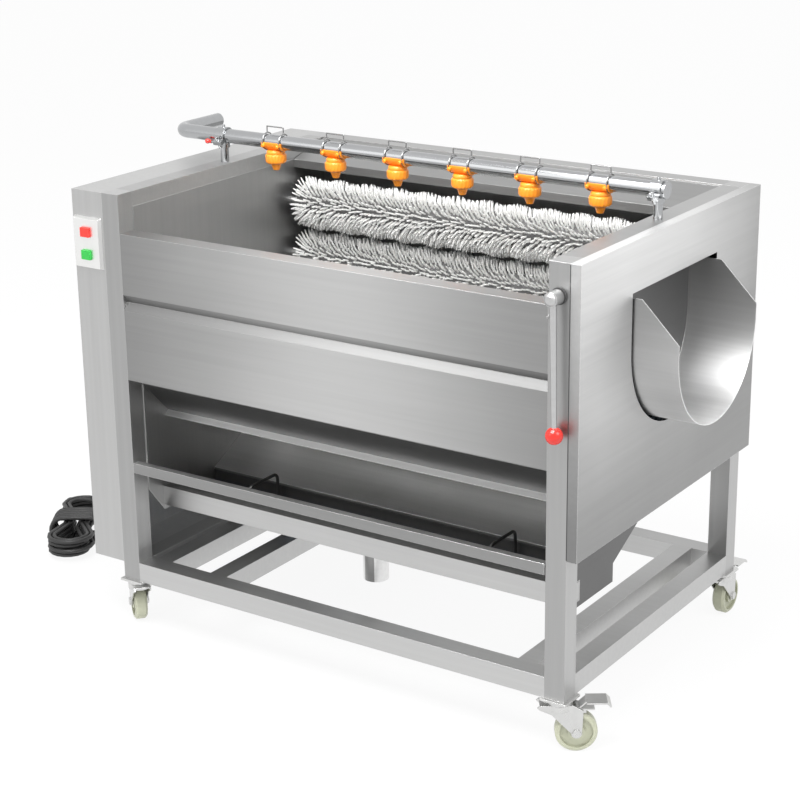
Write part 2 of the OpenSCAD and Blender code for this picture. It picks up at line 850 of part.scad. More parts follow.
// Shaft with its sprockets and the two collars that hold the core
module roller(k) {
    last = planes(k)[len(planes(k)) - 1];
    color(steel) translate([0, roller_yz(k)[0], roller_yz(k)[1]]) {
        bar_x(plane_x(last) - sprocket_t, shaft_right, shaft_r);
        bar_x(plane_x(last) - sprocket_t, -sprocket_t / 2, hub_r);
        for (p = planes(k)) sprocket(p);
        for (x = [brush_x0 - collar_t, brush_x0 + brush_l]) bar_x(x, x + collar_t, collar_r);
    }
}

// Core with bristle tufts whose tips follow a spiral wave
function tuft_turn(i) = i * golden_turn;
function tuft_tip(x, turn) = brush_r - wave * (1 - cos(turn - 360 * x / wave_pitch)) / 2;
module brush(k) {
    step = (brush_l - 2 * tuft_r) / tufts;
    color(white) translate([brush_x0, roller_yz(k)[0], roller_yz(k)[1]]) {
        difference() {
            bar_x(0, brush_l, core_r);
            bar_x(-over, brush_l + over, shaft_r + run_fit);
        }
        for (i = [0:tufts - 1]) let (x = tuft_r + (i + 1 / 2) * step, turn = tuft_turn(i))
            translate([x, 0, 0]) rotate([turn, 0, 0]) translate([0, 0, core_r - over])
            cylinder(r = tuft_r, h = tuft_tip(x, turn) - core_r + over, $fn = 3);
    }
}

// Flange bearings outside both end walls
module bearings() {
    color(dark) for (k = [1:7]) translate([0, roller_yz(k)[0], roller_yz(k)[1]]) {
        translate([tube_w, 0, 0]) mirror([1, 0, 0]) bearing();
        translate([inner_x, 0, 0]) bearing();
    }
}
module bearing() {
    difference() {
        union() {
            bar_x(0, bearing_flange_t, bearing_flange_r);
            bar_x(0, bearing_l, bearing_boss_r);
            for (a = [45:90:315]) rotate([a, 0, 0])
                translate([bearing_flange_t - over, 0, bearing_flange_r * bolt_ring_share])
                rotate([0, 90, 0]) cylinder(r = bolt_r, h = bolt_h + over, $fn = 6);
        }
        bar_x(-over, bearing_l + over, shaft_r + run_fit);
    }
}

// Loop of links round two sprockets, straight from pin to pin
module links(a, b, r) {
    turn = atan2(b[1] - a[1], b[0] - a[0]) - 90;
    polygon([for (s = [0, 1], i = [0:teeth / 2]) let (t = turn + 180 * s + i * 360 / teeth)
        (s == 0 ? b : a) + r * [cos(t), sin(t)]]);
}

// Roller chains: side plates round both sprockets, with rollers in the straight runs
module chain(a, b, p) {
    half = sprocket_t / 2 + plate_gap;
    d = b - a;
    runs = floor(norm(d) / chain_pitch);
    color(dark) {
        for (x = [plane_x(p) - half - plate_t, plane_x(p) + half]) along_x(x, x + plate_t) difference() {
            links(a, b, pitch_r + plate_h);
            links(a, b, pitch_r - plate_h);
        }
        for (i = [2:runs - 2], s = [-1, 1])
            let (q = a + d * (i / runs) + s * pitch_r * left_of(unit(d)))
            translate([0, q[0], q[1]])
            bar_x(plane_x(p) - half - plate_t / 2, plane_x(p) + half + plate_t / 2, chain_roller_r);
    }
}
module drive_chains() {
    for (k = [1:6]) chain(roller_yz(k), roller_yz(k + 1), (k - 1) % 2);
    chain([motor_y, motor_z], roller_yz(5), 2);
}

// Gearmotor

module motor() {
    x0 = gear_x + gear_w;
    color(dark) translate([0, motor_y, motor_z]) {
        bar_x(x0, x0 + motor_l, motor_r - fin_h);
        bar_x(x0, x0 + motor_end_l, motor_r);
        bar_x(x0 + motor_l - motor_end_l, x0 + motor_l, motor_r);
        for (i = [0:fin_count - 1]) rotate([i * 360 / fin_count, 0, 0])
            translate([x0, -fin_t / 2, 0]) cube([motor_l - motor_end_l, fin_t, motor_r]);
        translate([x0 + motor_end_l + fin_h, -box_w / 2, 0]) cube([box_w, box_w, motor_r + box_h]);
    }
}
module gearbox() {
    color(dark) difference() {
        union() {
            translate([0, motor_y, motor_z]) bar_x(gear_x, gear_x + gear_w, gear_d / 2);
            translate([gear_x, motor_y - gear_d / 2, plate_top]) cube([gear_w, gear_d, motor_z - plate_top]);
            translate([gear_x, motor_y - gear_foot_d / 2, plate_top])
                cube([gear_w, gear_foot_d, gear_foot_t]);
        }
        translate([0, motor_y, motor_z])
            bar_x(gear_x - over, gear_x + gear_bore_l, drive_shaft_r + run_fit);
    }
}
module motor_sprocket() {
    color(steel) translate([0, motor_y, motor_z]) {
        bar_x(plane_x(2) - sprocket_t, gear_x + gear_bore_l - slide_fit, drive_shaft_r);
        sprocket(2);
    }
}

// Switch station

module switch_plate() {
    color(bright) difference() {
        translate([switch_x, 0, switch_z]) {
            intersection() {
                translate([0, 0, -switch_h / 2]) linear_extrude(switch_h) bevelled(switch_w, 1);
                along_x(-switch_w / 2, switch_w / 2) rotate(90) bevelled(switch_h, -1);
            }
            translate([-switch_box_w / 2, -sheet_t, -switch_box_h / 2])
                cube([switch_box_w, switch_box_d, switch_box_h]);
        }
        for (s = [-1, 1]) button_block(s, slide_fit, -switch_t - over, button_depth);
    }
}
// Plate section with sloping edges
module bevelled(w, s) {
    polygon([[-w / 2, 0], [w / 2, 0], [w / 2 - switch_slope, -s * switch_t],
        [switch_slope - w / 2, -s * switch_t]]);
}
module button_block(s, grow, y0, y1) {
    w = button_w + 2 * grow;
    h = button_h + 2 * grow;
    translate([switch_x - w / 2, y0, switch_z + s * button_gap / 2 - h / 2]) cube([w, y1 - y0, h]);
}
module red_button() {
    color(red) button_block(1, 0, -switch_t - button_out, button_depth - button_travel - sheet_clear);
}
module green_button() {
    color(green) button_block(-1, 0, -switch_t - button_out, button_depth - button_travel - sheet_clear);
}

// Cord

module cord_gland() {
    color(black) translate([-cover_w, gland_y, gland_z]) difference() {
        union() {
            bar_x(-gland_out, gland_out, gland_r);
            bar_x(-gland_nut_t, 0, gland_r + gland_nut_t);
        }
        bar_x(-gland_out / 2, gland_out + over, cord_d / 2 + run_fit);
    }
}

// Rings of a tube along a path: each ring lies square to the mean of the two steps it joins
function step_at(p, i) = unit(p[min(i + 1, len(p) - 1)] - p[max(i - 1, 0)]);
function tube_ring(p, i, r, sides, up) =
    let (t = step_at(p, i), u = unit(cross(t, up)), v = cross(u, t))
    [for (j = [0:sides - 1]) let (a = 360 * (j + 1 / 2) / sides) p[i] + r * (cos(a) * u + sin(a) * v)];
module swept(p, r, sides, up = [0, 0, 1]) {
    n = len(p);
    points = [for (i = [0:n - 1]) each tube_ring(p, i, r, sides, up)];
    walls = [for (i = [0:n - 2], j = [0:sides - 1])
        let (a = i * sides + j, b = i * sides + (j + 1) % sides)
        each [[a, b, b + sides], [a, b + sides, a + sides]]];
    ends = [for (j = [1:sides - 2]) each [[0, j + 1, j],
        [(n - 1) * sides, (n - 1) * sides + j, (n - 1) * sides + j + 1]]];
    polyhedron(points, concat(walls, ends));
}

// Smooth curve through the chosen points, with a ring at equal steps between them
function between(a, b, c, d, t) = 0.5 * (2 * b + t * (c - a) + t * t * (2 * a - 5 * b + 4 * c - d)
    + t * t * t * (3 * b - a - 3 * c + d));
function smooth(p, n) = concat([for (i = [0:len(p) - 2], j = [0:n - 1])
    between(p[max(i - 1, 0)], p[i], p[i + 1], p[min(i + 2, len(p) - 1)], j / n)], [p[len(p) - 1]]);

// Hank: loops of two straight runs and two half turns, wound in and out in four layers.
// Point j counts rings: each half loop has some on its straight run and some on its bend.
run_rings = 3;
bend_rings = 9;
half_rings = run_rings + bend_rings;
function halves(j) = floor(j / half_rings);
function bend_share(j) = max(0, j % half_rings - run_rings) / bend_rings;
function hank_k(j) =
    let (m = ((halves(j) + bend_share(j)) / 2) % (2 * hank_turns))
    m < hank_turns ? m : 2 * hank_turns - m;
function hank_layer(j) =
    let (layer_halves = 2 * hank_turns, f = bend_share(j))
    floor(halves(j) / layer_halves)
    + (halves(j) % layer_halves == layer_halves - 1 ? 1 - sqrt(1 - f * f) : 0);
function hank_y(j) = hank_in + hank_step * (hank_turns - hank_k(j));
function waist(x, y) =
    y - (hank_in - hank_waist) * min(1, max(0, (hank_run / 2 - abs(x)) / (hank_run / run_rings)));
function hank_point(j) =
    let (q = j % half_rings, s = halves(j) % 2 == 0 ? 1 : -1, y = hank_y(j))
    let (z = hank_top - hank_step * min(hank_layer(j), hank_layers - 1))
    q < run_rings
    ? let (x = -hank_run / 2 + hank_run * q / run_rings) [s * x, s * waist(x, y), z]
    : let (a = 90 - 180 * (q - run_rings) / bend_rings)
      [s * (hank_run / 2 + y * cos(a)), s * y * sin(a), z];
hank_last = 2 * half_rings * hank_turns * hank_layers - bend_rings;
hank_lead = [3 * cord_d, 0, 0];
hank_path = concat([hank_point(0) - hank_lead], [for (j = [0:hank_last]) hank_point(j)],
    [hank_point(hank_last) - hank_lead]);
least_gap = min([for (i = [0:hank_last - half_rings], j = [i + half_rings:hank_last])
    norm(hank_point(i) - hank_point(j))]) - cord_d;
echo("Least gap between the hank's turns", least_gap);
wrap_rings = 16;
wrap_path = [for (i = [0:wrap_rings * wrap_turns])
    let (a = 360 * i / wrap_rings, c = cos(a), s = sin(a))
    [(i / wrap_rings - wrap_turns / 2) * hank_step,
     (i % (wrap_rings / 2) == wrap_rings / 4 ? 0 : sign(c) * wrap_flat) + wrap_r * c,
     wrap_z + wrap_r * s]];
module at_hank() {
    translate([hank_place[0], hank_place[1], -caster_h]) rotate(hank_dir) children();
}
module cord_hank() {
    color(black) at_hank() {
        swept(hank_path, cord_d / 2, 6);
        swept(wrap_path, cord_d / 2, 6, [1, 0, 0]);
    }
}

// Free cord from the gland to the hank, through points chosen by hand
function from_hank(p) = let (c = cos(hank_dir), s = sin(hank_dir))
    [hank_place[0] + c * p[0] - s * p[1], hank_place[1] + s * p[0] + c * p[1], p[2] - caster_h];
cord_start = [-cover_w - gland_out, gland_y, gland_z];
cord_path = smooth(concat([for (k = [0, 1, 3]) cord_start - [k * cord_d, 0, 0]], cord_route,
    [for (k = [4, 3, 2]) from_hank(hank_point(0) - k * hank_lead / 2)]), 4);
module power_cord() { color(black) swept(cord_path, cord_d / 2, 8); }

// Plug with two round pins, lying beside the hank
module plug() {
    x0 = hank_point(hank_last)[0] - hank_lead[0];
    color(black) at_hank() translate([x0, hank_point(hank_last)[1], hank_point(hank_last)[2]]) {
        translate([-plug_l, 0, 0]) rotate([0, 90, 0]) cylinder(r1 = plug_r, r2 = plug_neck_r, h = plug_l / 2);
        bar_x(-plug_l / 2, 0, plug_sleeve_r);
        for (s = [-1, 1]) translate([0, s * pin_gap / 2, 0]) bar_x(-plug_l - pin_l, -plug_l, pin_r);
    }
}

// Casters

// Swivel axes at the posts, and the direction in which each caster trails
swivels = [[post_c, post_c], [frame_w - post_c, post_c], [frame_w - post_c, frame_d - post_c],
    [post_c, frame_d - post_c]];
trail_dirs = [140, 34, 90, 60];
module at_caster(i) { translate(swivels[i - 1]) rotate(trail_dirs[i - 1]) children(); }
axle_z = wheel_r - caster_h;
fork_y = wheel_w / 2 + fork_gap;

// Top plates with their races and kingpins
module caster_plates() {
    color(bright) for (p = swivels) translate(p) {
        translate([-plate_side / 2, -plate_side / 2, -caster_plate_t])
            cube([plate_side, plate_side, caster_plate_t]);
        translate([0, 0, -race_z]) cylinder(r = race_r, h = race_z - caster_plate_t);
        translate([0, 0, -pin_end_z]) cylinder(r = kingpin_r, h = pin_end_z - race_z);
        translate([0, 0, -pin_end_z]) cylinder(r = kingpin_r + pin_head, h = pin_head_t);
    }
}

// Pressed fork: swivel cup, two cheeks and the axle bolt
module fork(i) {
    cup_top = -race_z - slide_fit;
    cup_low = slide_fit + pin_head_t - pin_end_z;
    web_w = 2 * (fork_y + cheek_t);
    cheek = [[-fork_back, cup_top], [-fork_back - fork_round, cup_top - fork_round],
        [-fork_back, cup_top - 2 * fork_round], [-fork_heel, cup_top - fork_drop],
        [trail - axle_boss_r, axle_z], [trail + axle_boss_r, axle_z], [pedal_x + axle_boss_r, cup_low],
        [race_r, cup_top]];
    color(bright) at_caster(i) difference() {
        union() {
            translate([0, 0, cup_low]) cylinder(r = race_r, h = cup_top - cup_low);
            translate([-fork_back, -web_w / 2, cup_top - cheek_t]) cube([fork_back + race_r, web_w, cheek_t]);
            for (y = [-fork_y - cheek_t, fork_y]) along_y(y, y + cheek_t) {
                polygon(cheek);
                translate([trail, axle_z]) circle(axle_boss_r);
            }
            translate([trail, 0, axle_z]) {
                bar_y(-fork_y - cheek_t, fork_y + cheek_t, axle_r);
                for (s = [-1, 1]) translate([0, s * (fork_y + cheek_t), 0]) rotate([-s * 90, 0, 0])
                    cylinder(r = axle_r + pin_head, h = pin_head_t, $fn = 6);
            }
            if (i == 2 || i == 3) translate([pedal_x, 0, pedal_z])
                bar_y(-fork_y - cheek_t, fork_y + cheek_t, pedal_pin_r);
        }
        translate([0, 0, cup_low - over]) cylinder(r = kingpin_r + run_fit, h = cup_top - cup_low + 2 * over);
    }
}

// Solid nylon wheel: rounded tread, recessed web and hub
module wheel(i) {
    w = wheel_w / 2;
    color([0.85, 0.86, 0.62]) at_caster(i) translate([trail, 0, axle_z]) rotate([90, 0, 0])
        rotate_extrude() difference() {
            polygon([[axle_r + run_fit, -w], [hub_share * wheel_r, -w],
                [hub_share * wheel_r, -w * web_share], [rim_share * wheel_r, -w * web_share],
                [rim_share * wheel_r, -w], [wheel_r - tread_round, -w], [wheel_r, tread_round - w],
                [wheel_r, w - tread_round], [wheel_r - tread_round, w], [rim_share * wheel_r, w],
                [rim_share * wheel_r, w * web_share], [hub_share * wheel_r, w * web_share],
                [hub_share * wheel_r, w], [axle_r + run_fit, w]]);
        }
}

// Brake pedal: sleeve on its pin, shoe over the tread, release tab, and the wide foot plate
module brake_pedal(i) {
    half = wheel_w / 2;
    knee = [pedal_x + pedal_knee, pedal_top_z - pedal_t];
    color(steel) at_caster(i) difference() {
        union() {
            translate([pedal_x, 0, pedal_z]) bar_y(-half, half, pedal_sleeve_r);
            translate([pedal_x, -half, pedal_z]) cube([pedal_tab, wheel_w, pedal_t]);
            translate([pedal_x + shoe_x, -half, pedal_z - shoe_h]) cube([shoe_l, wheel_w, shoe_h]);
            along_y(-half, half)
                polygon(folded([[pedal_x, pedal_z], knee, knee + [pedal_lip, 0]], pedal_t));
            along_y(-pedal_w / 2, pedal_w / 2) polygon(folded([knee,
                [pedal_reach - pedal_lip, knee[1]], [pedal_reach, knee[1] - pedal_lip]], pedal_t));
        }
        translate([pedal_x, 0, pedal_z]) bar_y(-half - over, half + over, pedal_pin_r + run_fit);
    }
}

placed() corner_posts();
placed() bottom_rails();
placed() upper_rails();
placed() motor_plate();
placed() left_end_wall();
placed() right_end_wall();
placed() side_panel();
placed() drive_cover();
placed() front_panel();
placed() back_panel();
placed() back_ledge();
placed() deflector();
placed() hopper_tray();
placed() strainer();
placed() chute();
placed() discharge_gate();
placed() discharge_lever();
placed() lever_ball();
placed() gate_bushes();
placed() spray_pipe();
placed() pipe_supports();
placed() nozzles();
placed() nozzle_clips();
for (k = [1:7]) placed() roller(k);
for (k = [1:7]) placed() brush(k);
placed() bearings();
placed() drive_chains();
placed() motor();
placed() gearbox();
placed() motor_sprocket();
placed() switch_plate();
placed() red_button();
placed() green_button();
placed() cord_gland();
placed() power_cord();
placed() cord_hank();
placed() plug();
placed() caster_plates();
for (k = [1:4]) placed() fork(k);
for (k = [1:4]) placed() wheel(k);
placed() brake_pedal(2);  // brake_pedal_front
placed() brake_pedal(3);  // brake_pedal_back
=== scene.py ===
"""Looks of a brush-roller potato washing and peeling machine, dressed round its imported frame."""

import logging
import math
from dataclasses import dataclass, field
from enum import Enum

import bmesh
import bpy
import numpy as np
from mathutils import Matrix, Vector


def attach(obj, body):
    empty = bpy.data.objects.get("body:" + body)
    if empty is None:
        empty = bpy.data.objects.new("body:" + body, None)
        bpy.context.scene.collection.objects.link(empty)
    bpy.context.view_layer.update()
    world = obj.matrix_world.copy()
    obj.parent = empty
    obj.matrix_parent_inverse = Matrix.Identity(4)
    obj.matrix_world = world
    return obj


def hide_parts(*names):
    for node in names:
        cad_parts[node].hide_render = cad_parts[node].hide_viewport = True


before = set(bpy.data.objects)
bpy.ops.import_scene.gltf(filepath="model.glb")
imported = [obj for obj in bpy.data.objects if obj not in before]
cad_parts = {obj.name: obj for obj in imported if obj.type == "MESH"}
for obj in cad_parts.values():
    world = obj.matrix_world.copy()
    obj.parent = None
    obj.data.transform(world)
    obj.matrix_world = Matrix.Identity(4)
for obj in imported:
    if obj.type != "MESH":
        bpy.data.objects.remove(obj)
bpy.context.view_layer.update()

LOG = logging.getLogger("peeler")

Group = bpy.types.NodeTree
Material = bpy.types.Material
Node = bpy.types.Node
Piece = bpy.types.Object
Socket = bpy.types.NodeSocket
Sockets = bpy.types.bpy_prop_collection
Pairs = tuple[tuple[float, float], ...]
Triple = tuple[float, float, float]
Colour = tuple[float, float, float, float]
Feeds = dict[str | int, object]

# The drawing frame has its corner at the front left post's foot, in millimetres.
ORIGIN = (478.5, 345.25, -98.0)
MM = 0.001
SMALLEST_R = 0.01
AXIS_X = Vector((1.0, 0.0, 0.0))
AXIS_Y = Vector((0.0, 1.0, 0.0))
AXIS_Z = Vector((0.0, 0.0, 1.0))


def at(x: float, y: float, z: float) -> Vector:
    """Turns a point of the drawing frame, in millimetres, into the row frame, in metres."""
    return Vector(((x - ORIGIN[0]) * MM, (y - ORIGIN[1]) * MM, (z - ORIGIN[2]) * MM))


def tinted(tone: Triple, share: float, lift: float = 0.0) -> Colour:
    """Scales a tone by a share and lifts it, as a full colour no lighter than white."""
    return tuple(min(1.0, c * share + lift) for c in tone) + (1.0,)


def grey(value: float) -> Colour:
    """Makes a full colour from one value."""
    return (value, value, value, 1.0)


def linked(piece: Piece) -> Piece:
    """Puts an object into the scene and returns it."""
    bpy.context.scene.collection.objects.link(piece)
    return piece


class Axis(Enum):
    """Direction in which a surface is brushed, as the stretch of its grain."""

    X = (0.02, 1.0, 1.0)
    Y = (1.0, 0.02, 1.0)
    Z = (1.0, 1.0, 0.02)


class Ends(Enum):
    """What a skin does at its first and last ring: JOINED joins them, TIP closes only the last."""

    CLOSED = "closed"
    TIP = "tip"
    OPEN = "open"
    JOINED = "joined"


class Nodes:
    """Adds and links shader nodes in one tree."""

    def __init__(self, tree: Group) -> None:
        """Keeps the tree that the nodes go into."""
        self.tree = tree

    def fill(self, inputs: Sockets, feeds: Feeds) -> None:
        """Links inputs to sockets, or sets them to plain values.

        Args:
            inputs: The inputs of a node.
            feeds: Socket or plain value by the input's name or number.
        """
        for name, value in feeds.items():
            if isinstance(value, Socket):
                self.tree.links.new(value, inputs[name])
            else:
                inputs[name].default_value = value

    def add(self, kind: str, feeds: Feeds | None = None, **values: object) -> Node:
        """Adds a node.

        Args:
            kind: The node's type name without the ShaderNode prefix.
            feeds: Socket or plain value by the input's name or number.
            values: Properties of the node.

        Returns:
            The new node.
        """
        node = self.tree.nodes.new("ShaderNode" + kind)
        for name, value in values.items():
            setattr(node, name, value)
        self.fill(node.inputs, feeds or {})
        return node

    def math(self, operation: str, a: object, b: object = 0.5, clamp: bool = False) -> Socket:
        """Adds a Math node and returns its result, kept from 0 to 1 if clamp is set."""
        return self.add("Math", {0: a, 1: b}, operation=operation, use_clamp=clamp).outputs[0]

    def vector(self, operation: str, a: object, b: object = (0.0, 0.0, 0.0)) -> Socket:
        """Adds a Vector Math node and returns its result, a value or a vector."""
        result = "Value" if operation in ("DOT_PRODUCT", "LENGTH") else "Vector"
        return self.add("VectorMath", {0: a, 1: b}, operation=operation).outputs[result]

    def mix(self, share: object, a: object, b: object, blend: str = "MIX") -> Socket:
        """Mixes two colours by a share and returns the result."""
        return self.add("Mix", {"Factor": share, 6: a, 7: b}, data_type="RGBA", blend_type=blend).outputs[2]

    def noise(self, vector: Socket, scale: object, detail: float = 3.0, rough: float = 0.55) -> Socket:
        """Adds a noise texture and returns its value."""
        feeds = {"Vector": vector, "Scale": scale, "Detail": detail, "Roughness": rough}
        return self.add("TexNoise", feeds).outputs["Fac"]

    def grade(self, share: Socket, low: float, high: float) -> Socket:
        """Maps a mask from 0 to 1 onto a range of plain values."""
        return self.add("MapRange", {"Value": share, "To Min": low, "To Max": high}).outputs["Result"]

    def place(self, group: Group, **feeds: object) -> Sockets:
        """Places a shared group, feeds its inputs and returns its outputs."""
        return self.add("Group", feeds, node_tree=group).outputs

    def seen(self) -> Socket:
        """Tells a sight of the camera, also by a mirror or through glass, from light.

        Returns:
            A mask that is 1 for such a sight.
        """
        path = self.add("LightPath").outputs
        far = self.math("MAXIMUM", path["Is Glossy Ray"], path["Is Transmission Ray"])
        return self.math("MAXIMUM", path["Is Camera Ray"], far)


def new_group(name: str, inputs: dict[str, object],
              outputs: dict[str, str]) -> tuple[Nodes, Sockets, Sockets]:
    """Starts a shader node group with named sockets.

    Args:
        name: The group's name.
        inputs: Default value by socket name, a tuple for a vector and a number for a float.
        outputs: Socket type by socket name.

    Returns:
        A Nodes helper for the group's tree, the sockets that it is given, and its result's sockets.
    """
    n = Nodes(bpy.data.node_groups.new(name, "ShaderNodeTree"))
    for label, value in inputs.items():
        kind = "NodeSocketVector" if isinstance(value, tuple) else "NodeSocketFloat"
        n.tree.interface.new_socket(label, in_out="INPUT", socket_type=kind).default_value = value
    for label, kind in outputs.items():
        n.tree.interface.new_socket(label, in_out="OUTPUT", socket_type="NodeSocket" + kind)
    given = n.tree.nodes.new("NodeGroupInput").outputs
    return n, given, n.tree.nodes.new("NodeGroupOutput").inputs


class SharedEffects:
    """Node groups that several materials place with their own values."""

    def __init__(self) -> None:
        """Builds each group once."""
        self.grain = self.build_grain()
        self.smudge = self.build_smudge()
        self.wear = self.build_wear()
        self.mottle = self.build_mottle()
        self.painted_sheen = self.build_painted_sheen()
        self.turned = self.build_facing_shade()

    def build_grain(self) -> Group:
        """Fine brushing lines along one direction, as a height and a mask.

        Returns:
            The group.
        """
        fine_share, wide_scale = 0.65, 0.12
        n, given, result = new_group(
            "brushed_grain", {"Stretch": (0.02, 1.0, 1.0), "Scale": 900.0},
            {"Height": "Float", "Streak": "Float"}
        )
        stretched = n.vector("MULTIPLY", n.add("TexCoord").outputs["Object"], given["Stretch"])
        fine = n.noise(stretched, given["Scale"], 4.0, 0.7)
        wide = n.noise(stretched, n.math("MULTIPLY", given["Scale"], wide_scale), 3.0, 0.6)
        wide_part = n.math("MULTIPLY", wide, 1.0 - fine_share)
        height = n.math("ADD", n.math("MULTIPLY", fine, fine_share), wide_part)
        n.fill(result, {"Height": height, "Streak": wide})
        return n.tree

    def build_smudge(self) -> Group:
        """Soft clouds of handling and dried water.

        Returns:
            The group, with a mask from 0 to 1.
        """
        n, given, result = new_group("smudges", {"Scale": 5.0, "Contrast": 2.0}, {"Mask": "Float"})
        cloud = n.noise(n.add("TexCoord").outputs["Object"], given["Scale"], 5.0, 0.6)
        raised = n.math("MULTIPLY", n.math("SUBTRACT", cloud, 0.5), given["Contrast"])
        n.fill(result, {"Mask": n.math("ADD", raised, 0.5, clamp=True)})
        return n.tree

    def build_wear(self) -> Group:
        """Worn edges, from the difference between a rounded and the true normal.

        Returns:
            The group, with the edges' mask and the rounded normal.
        """
        n, given, result = new_group(
            "edge_wear", {"Radius": 0.0015, "Gain": 3.0}, {"Edge": "Float", "Normal": "Vector"}
        )
        rounded = n.add("Bevel", {"Radius": given["Radius"]}, samples=4).outputs[0]
        kept = n.vector("DOT_PRODUCT", rounded, n.add("NewGeometry").outputs["Normal"])
        edge = n.math("MULTIPLY", n.math("SUBTRACT", 1.0, kept), given["Gain"], clamp=True)
        n.fill(result, {"Edge": edge, "Normal": rounded})
        return n.tree

    def build_mottle(self) -> Group:
        """Fine moulded texture and a slow change of tone.

        Returns:
            The group, with a height and a mask.
        """
        tone_scale = 0.05
        n, given, result = new_group("moulded_mottle", {"Scale": 900.0}, {"Height": "Float", "Tone": "Float"})
        coordinate = n.add("TexCoord").outputs["Object"]
        tone = n.noise(coordinate, n.math("MULTIPLY", given["Scale"], tone_scale))
        n.fill(result, {"Height": n.noise(coordinate, given["Scale"], 2.0), "Tone": tone})
        return n.tree

    def build_painted_sheen(self) -> Group:
        """Painted sheen of a large sheet: a lighter patch in the colour with a slightly wavering edge.

        Returns:
            The group, with a mask that is 1 at the middle and 0 one reach away.
        """
        waver_scale, waver_share = 3.0, 0.25
        n, given, result = new_group(
            "painted_sheet_sheen", {"Middle": (0.0, 0.0, 0.0), "Reach": (1.0, 1.0, 1.0)}, {"Mask": "Float"}
        )
        offset = n.vector("SUBTRACT", n.add("TexCoord").outputs["Object"], given["Middle"])
        far = n.vector("LENGTH", n.vector("DIVIDE", offset, given["Reach"]))
        cloud = n.math("SUBTRACT", n.noise(offset, waver_scale, 2.0), 0.5)
        reached = n.math("ADD", far, n.math("MULTIPLY", cloud, waver_share))
        fall = n.add("MapRange", {"Value": reached, "To Min": 1.0, "To Max": 0.0},
                     interpolation_type="SMOOTHSTEP")
        n.fill(result, {"Mask": fall.outputs["Result"]})
        return n.tree

    def build_facing_shade(self) -> Group:
        """Mask for painted shade: faces whose normal leans by a share in a range along one axis, either way.

        Returns:
            The group, with a mask that is 1 on those faces.
        """
        n, given, result = new_group(
            "painted_facing_shade", {"Along": (0.0, 0.0, 1.0), "From": 0.3, "To": 0.8}, {"Mask": "Float"}
        )
        normal = n.add("TexCoord").outputs["Normal"]
        lean = n.math("ABSOLUTE", n.vector("DOT_PRODUCT", normal, given["Along"]))
        above = n.math("GREATER_THAN", lean, given["From"])
        n.fill(result, {"Mask": n.math("MULTIPLY", above, n.math("LESS_THAN", lean, given["To"]))})
        return n.tree


def start_material(name: str) -> tuple[Material, Nodes, Node]:
    """Makes a material with only its shader and output.

    Args:
        name: The material's name.

    Returns:
        The material, a Nodes helper for its tree, and the shader node.
    """
    material = bpy.data.materials.new(name)
    material.use_nodes = True
    return material, Nodes(material.node_tree), material.node_tree.nodes["Principled BSDF"]


@dataclass(frozen=True)
class Steel:
    """Stainless sheet or tube, brushed along one axis.

    A sheen is painted in its colour, lightest at middle and falling to the sheen fade's share of the tone one
    reach away.
    Painted shade leaves a darker share of the tone on faces that lean along one axis by a share in a range.
    """

    name: str
    tone: Triple
    brushed: Axis
    rough: float = 0.34
    relief: float = 0.05
    streak: float = 0.10
    # Painted sheen: where the lighter patch sits, how far it reaches and how dark the tone falls.
    middle: Triple = (0.0, 0.0, 0.0)
    reach: Triple = (9.0, 9.0, 9.0)
    painted_sheen_fade: float = 1.0
    # Painted shade: the axis, the lean range and the darker share of the tone for faces darkened by their
    # facing.
    shaded_facing: Triple = (0.0, 0.0, 1.0)
    shaded_lean_range: tuple[float, float] = (0.9, 1.1)
    facing_shade_tone: float = 1.0
    scale: float = 900.0
    light_streak: float = 0.7
    worn: float = 1.18
    smooth_by: float = 0.06
    rough_by: float = 0.07
    streak_rough: float = 0.06
    depth: float = 0.0004

    def build(self, effects: SharedEffects) -> Material:
        """Makes the material.

        Args:
            effects: The shared node groups.

        Returns:
            The new material.
        """
        material, n, shader = start_material(self.name)
        grain = n.place(effects.grain, Stretch=self.brushed.value, Scale=self.scale)
        smudge = n.place(effects.smudge, Scale=4.0, Contrast=1.8)
        wear = n.place(effects.wear, Radius=0.0012, Gain=2.5)
        light = tinted(self.tone, 1.0 + self.streak * self.light_streak)
        base = n.mix(grain["Streak"], tinted(self.tone, 1.0 - self.streak), light)
        # Painted sheen: the colour is lighter near the middle and darker one reach away.
        if self.painted_sheen_fade < 1.0:
            painted_sheen = n.place(effects.painted_sheen, Middle=self.middle, Reach=self.reach)
            base = n.mix(1.0, base, n.mix(painted_sheen["Mask"], grey(self.painted_sheen_fade), grey(1.0)), "MULTIPLY")
        # Painted shade: faces that lean along one axis get a darker share of the tone.
        if self.facing_shade_tone < 1.0:
            low, high = self.shaded_lean_range
            facing_shade_mask = n.place(effects.turned, Along=self.shaded_facing, From=low, To=high)
            base = n.mix(1.0, base, n.mix(facing_shade_mask["Mask"], grey(1.0), grey(self.facing_shade_tone)), "MULTIPLY")
        gloss = n.grade(smudge["Mask"], self.rough - self.smooth_by, self.rough + self.rough_by)
        rough = n.math("ADD", gloss, n.math("MULTIPLY", grain["Streak"], self.streak_rough))
        bump = n.add("Bump", {"Strength": self.relief, "Distance": self.depth, "Height": grain["Height"],
                              "Normal": wear["Normal"]})
        n.fill(shader.inputs, {"Base Color": n.mix(wear["Edge"], base, tinted(self.tone, self.worn)),
                               "Roughness": rough, "Metallic": 1.0, "Normal": bump.outputs[0]})
        return material


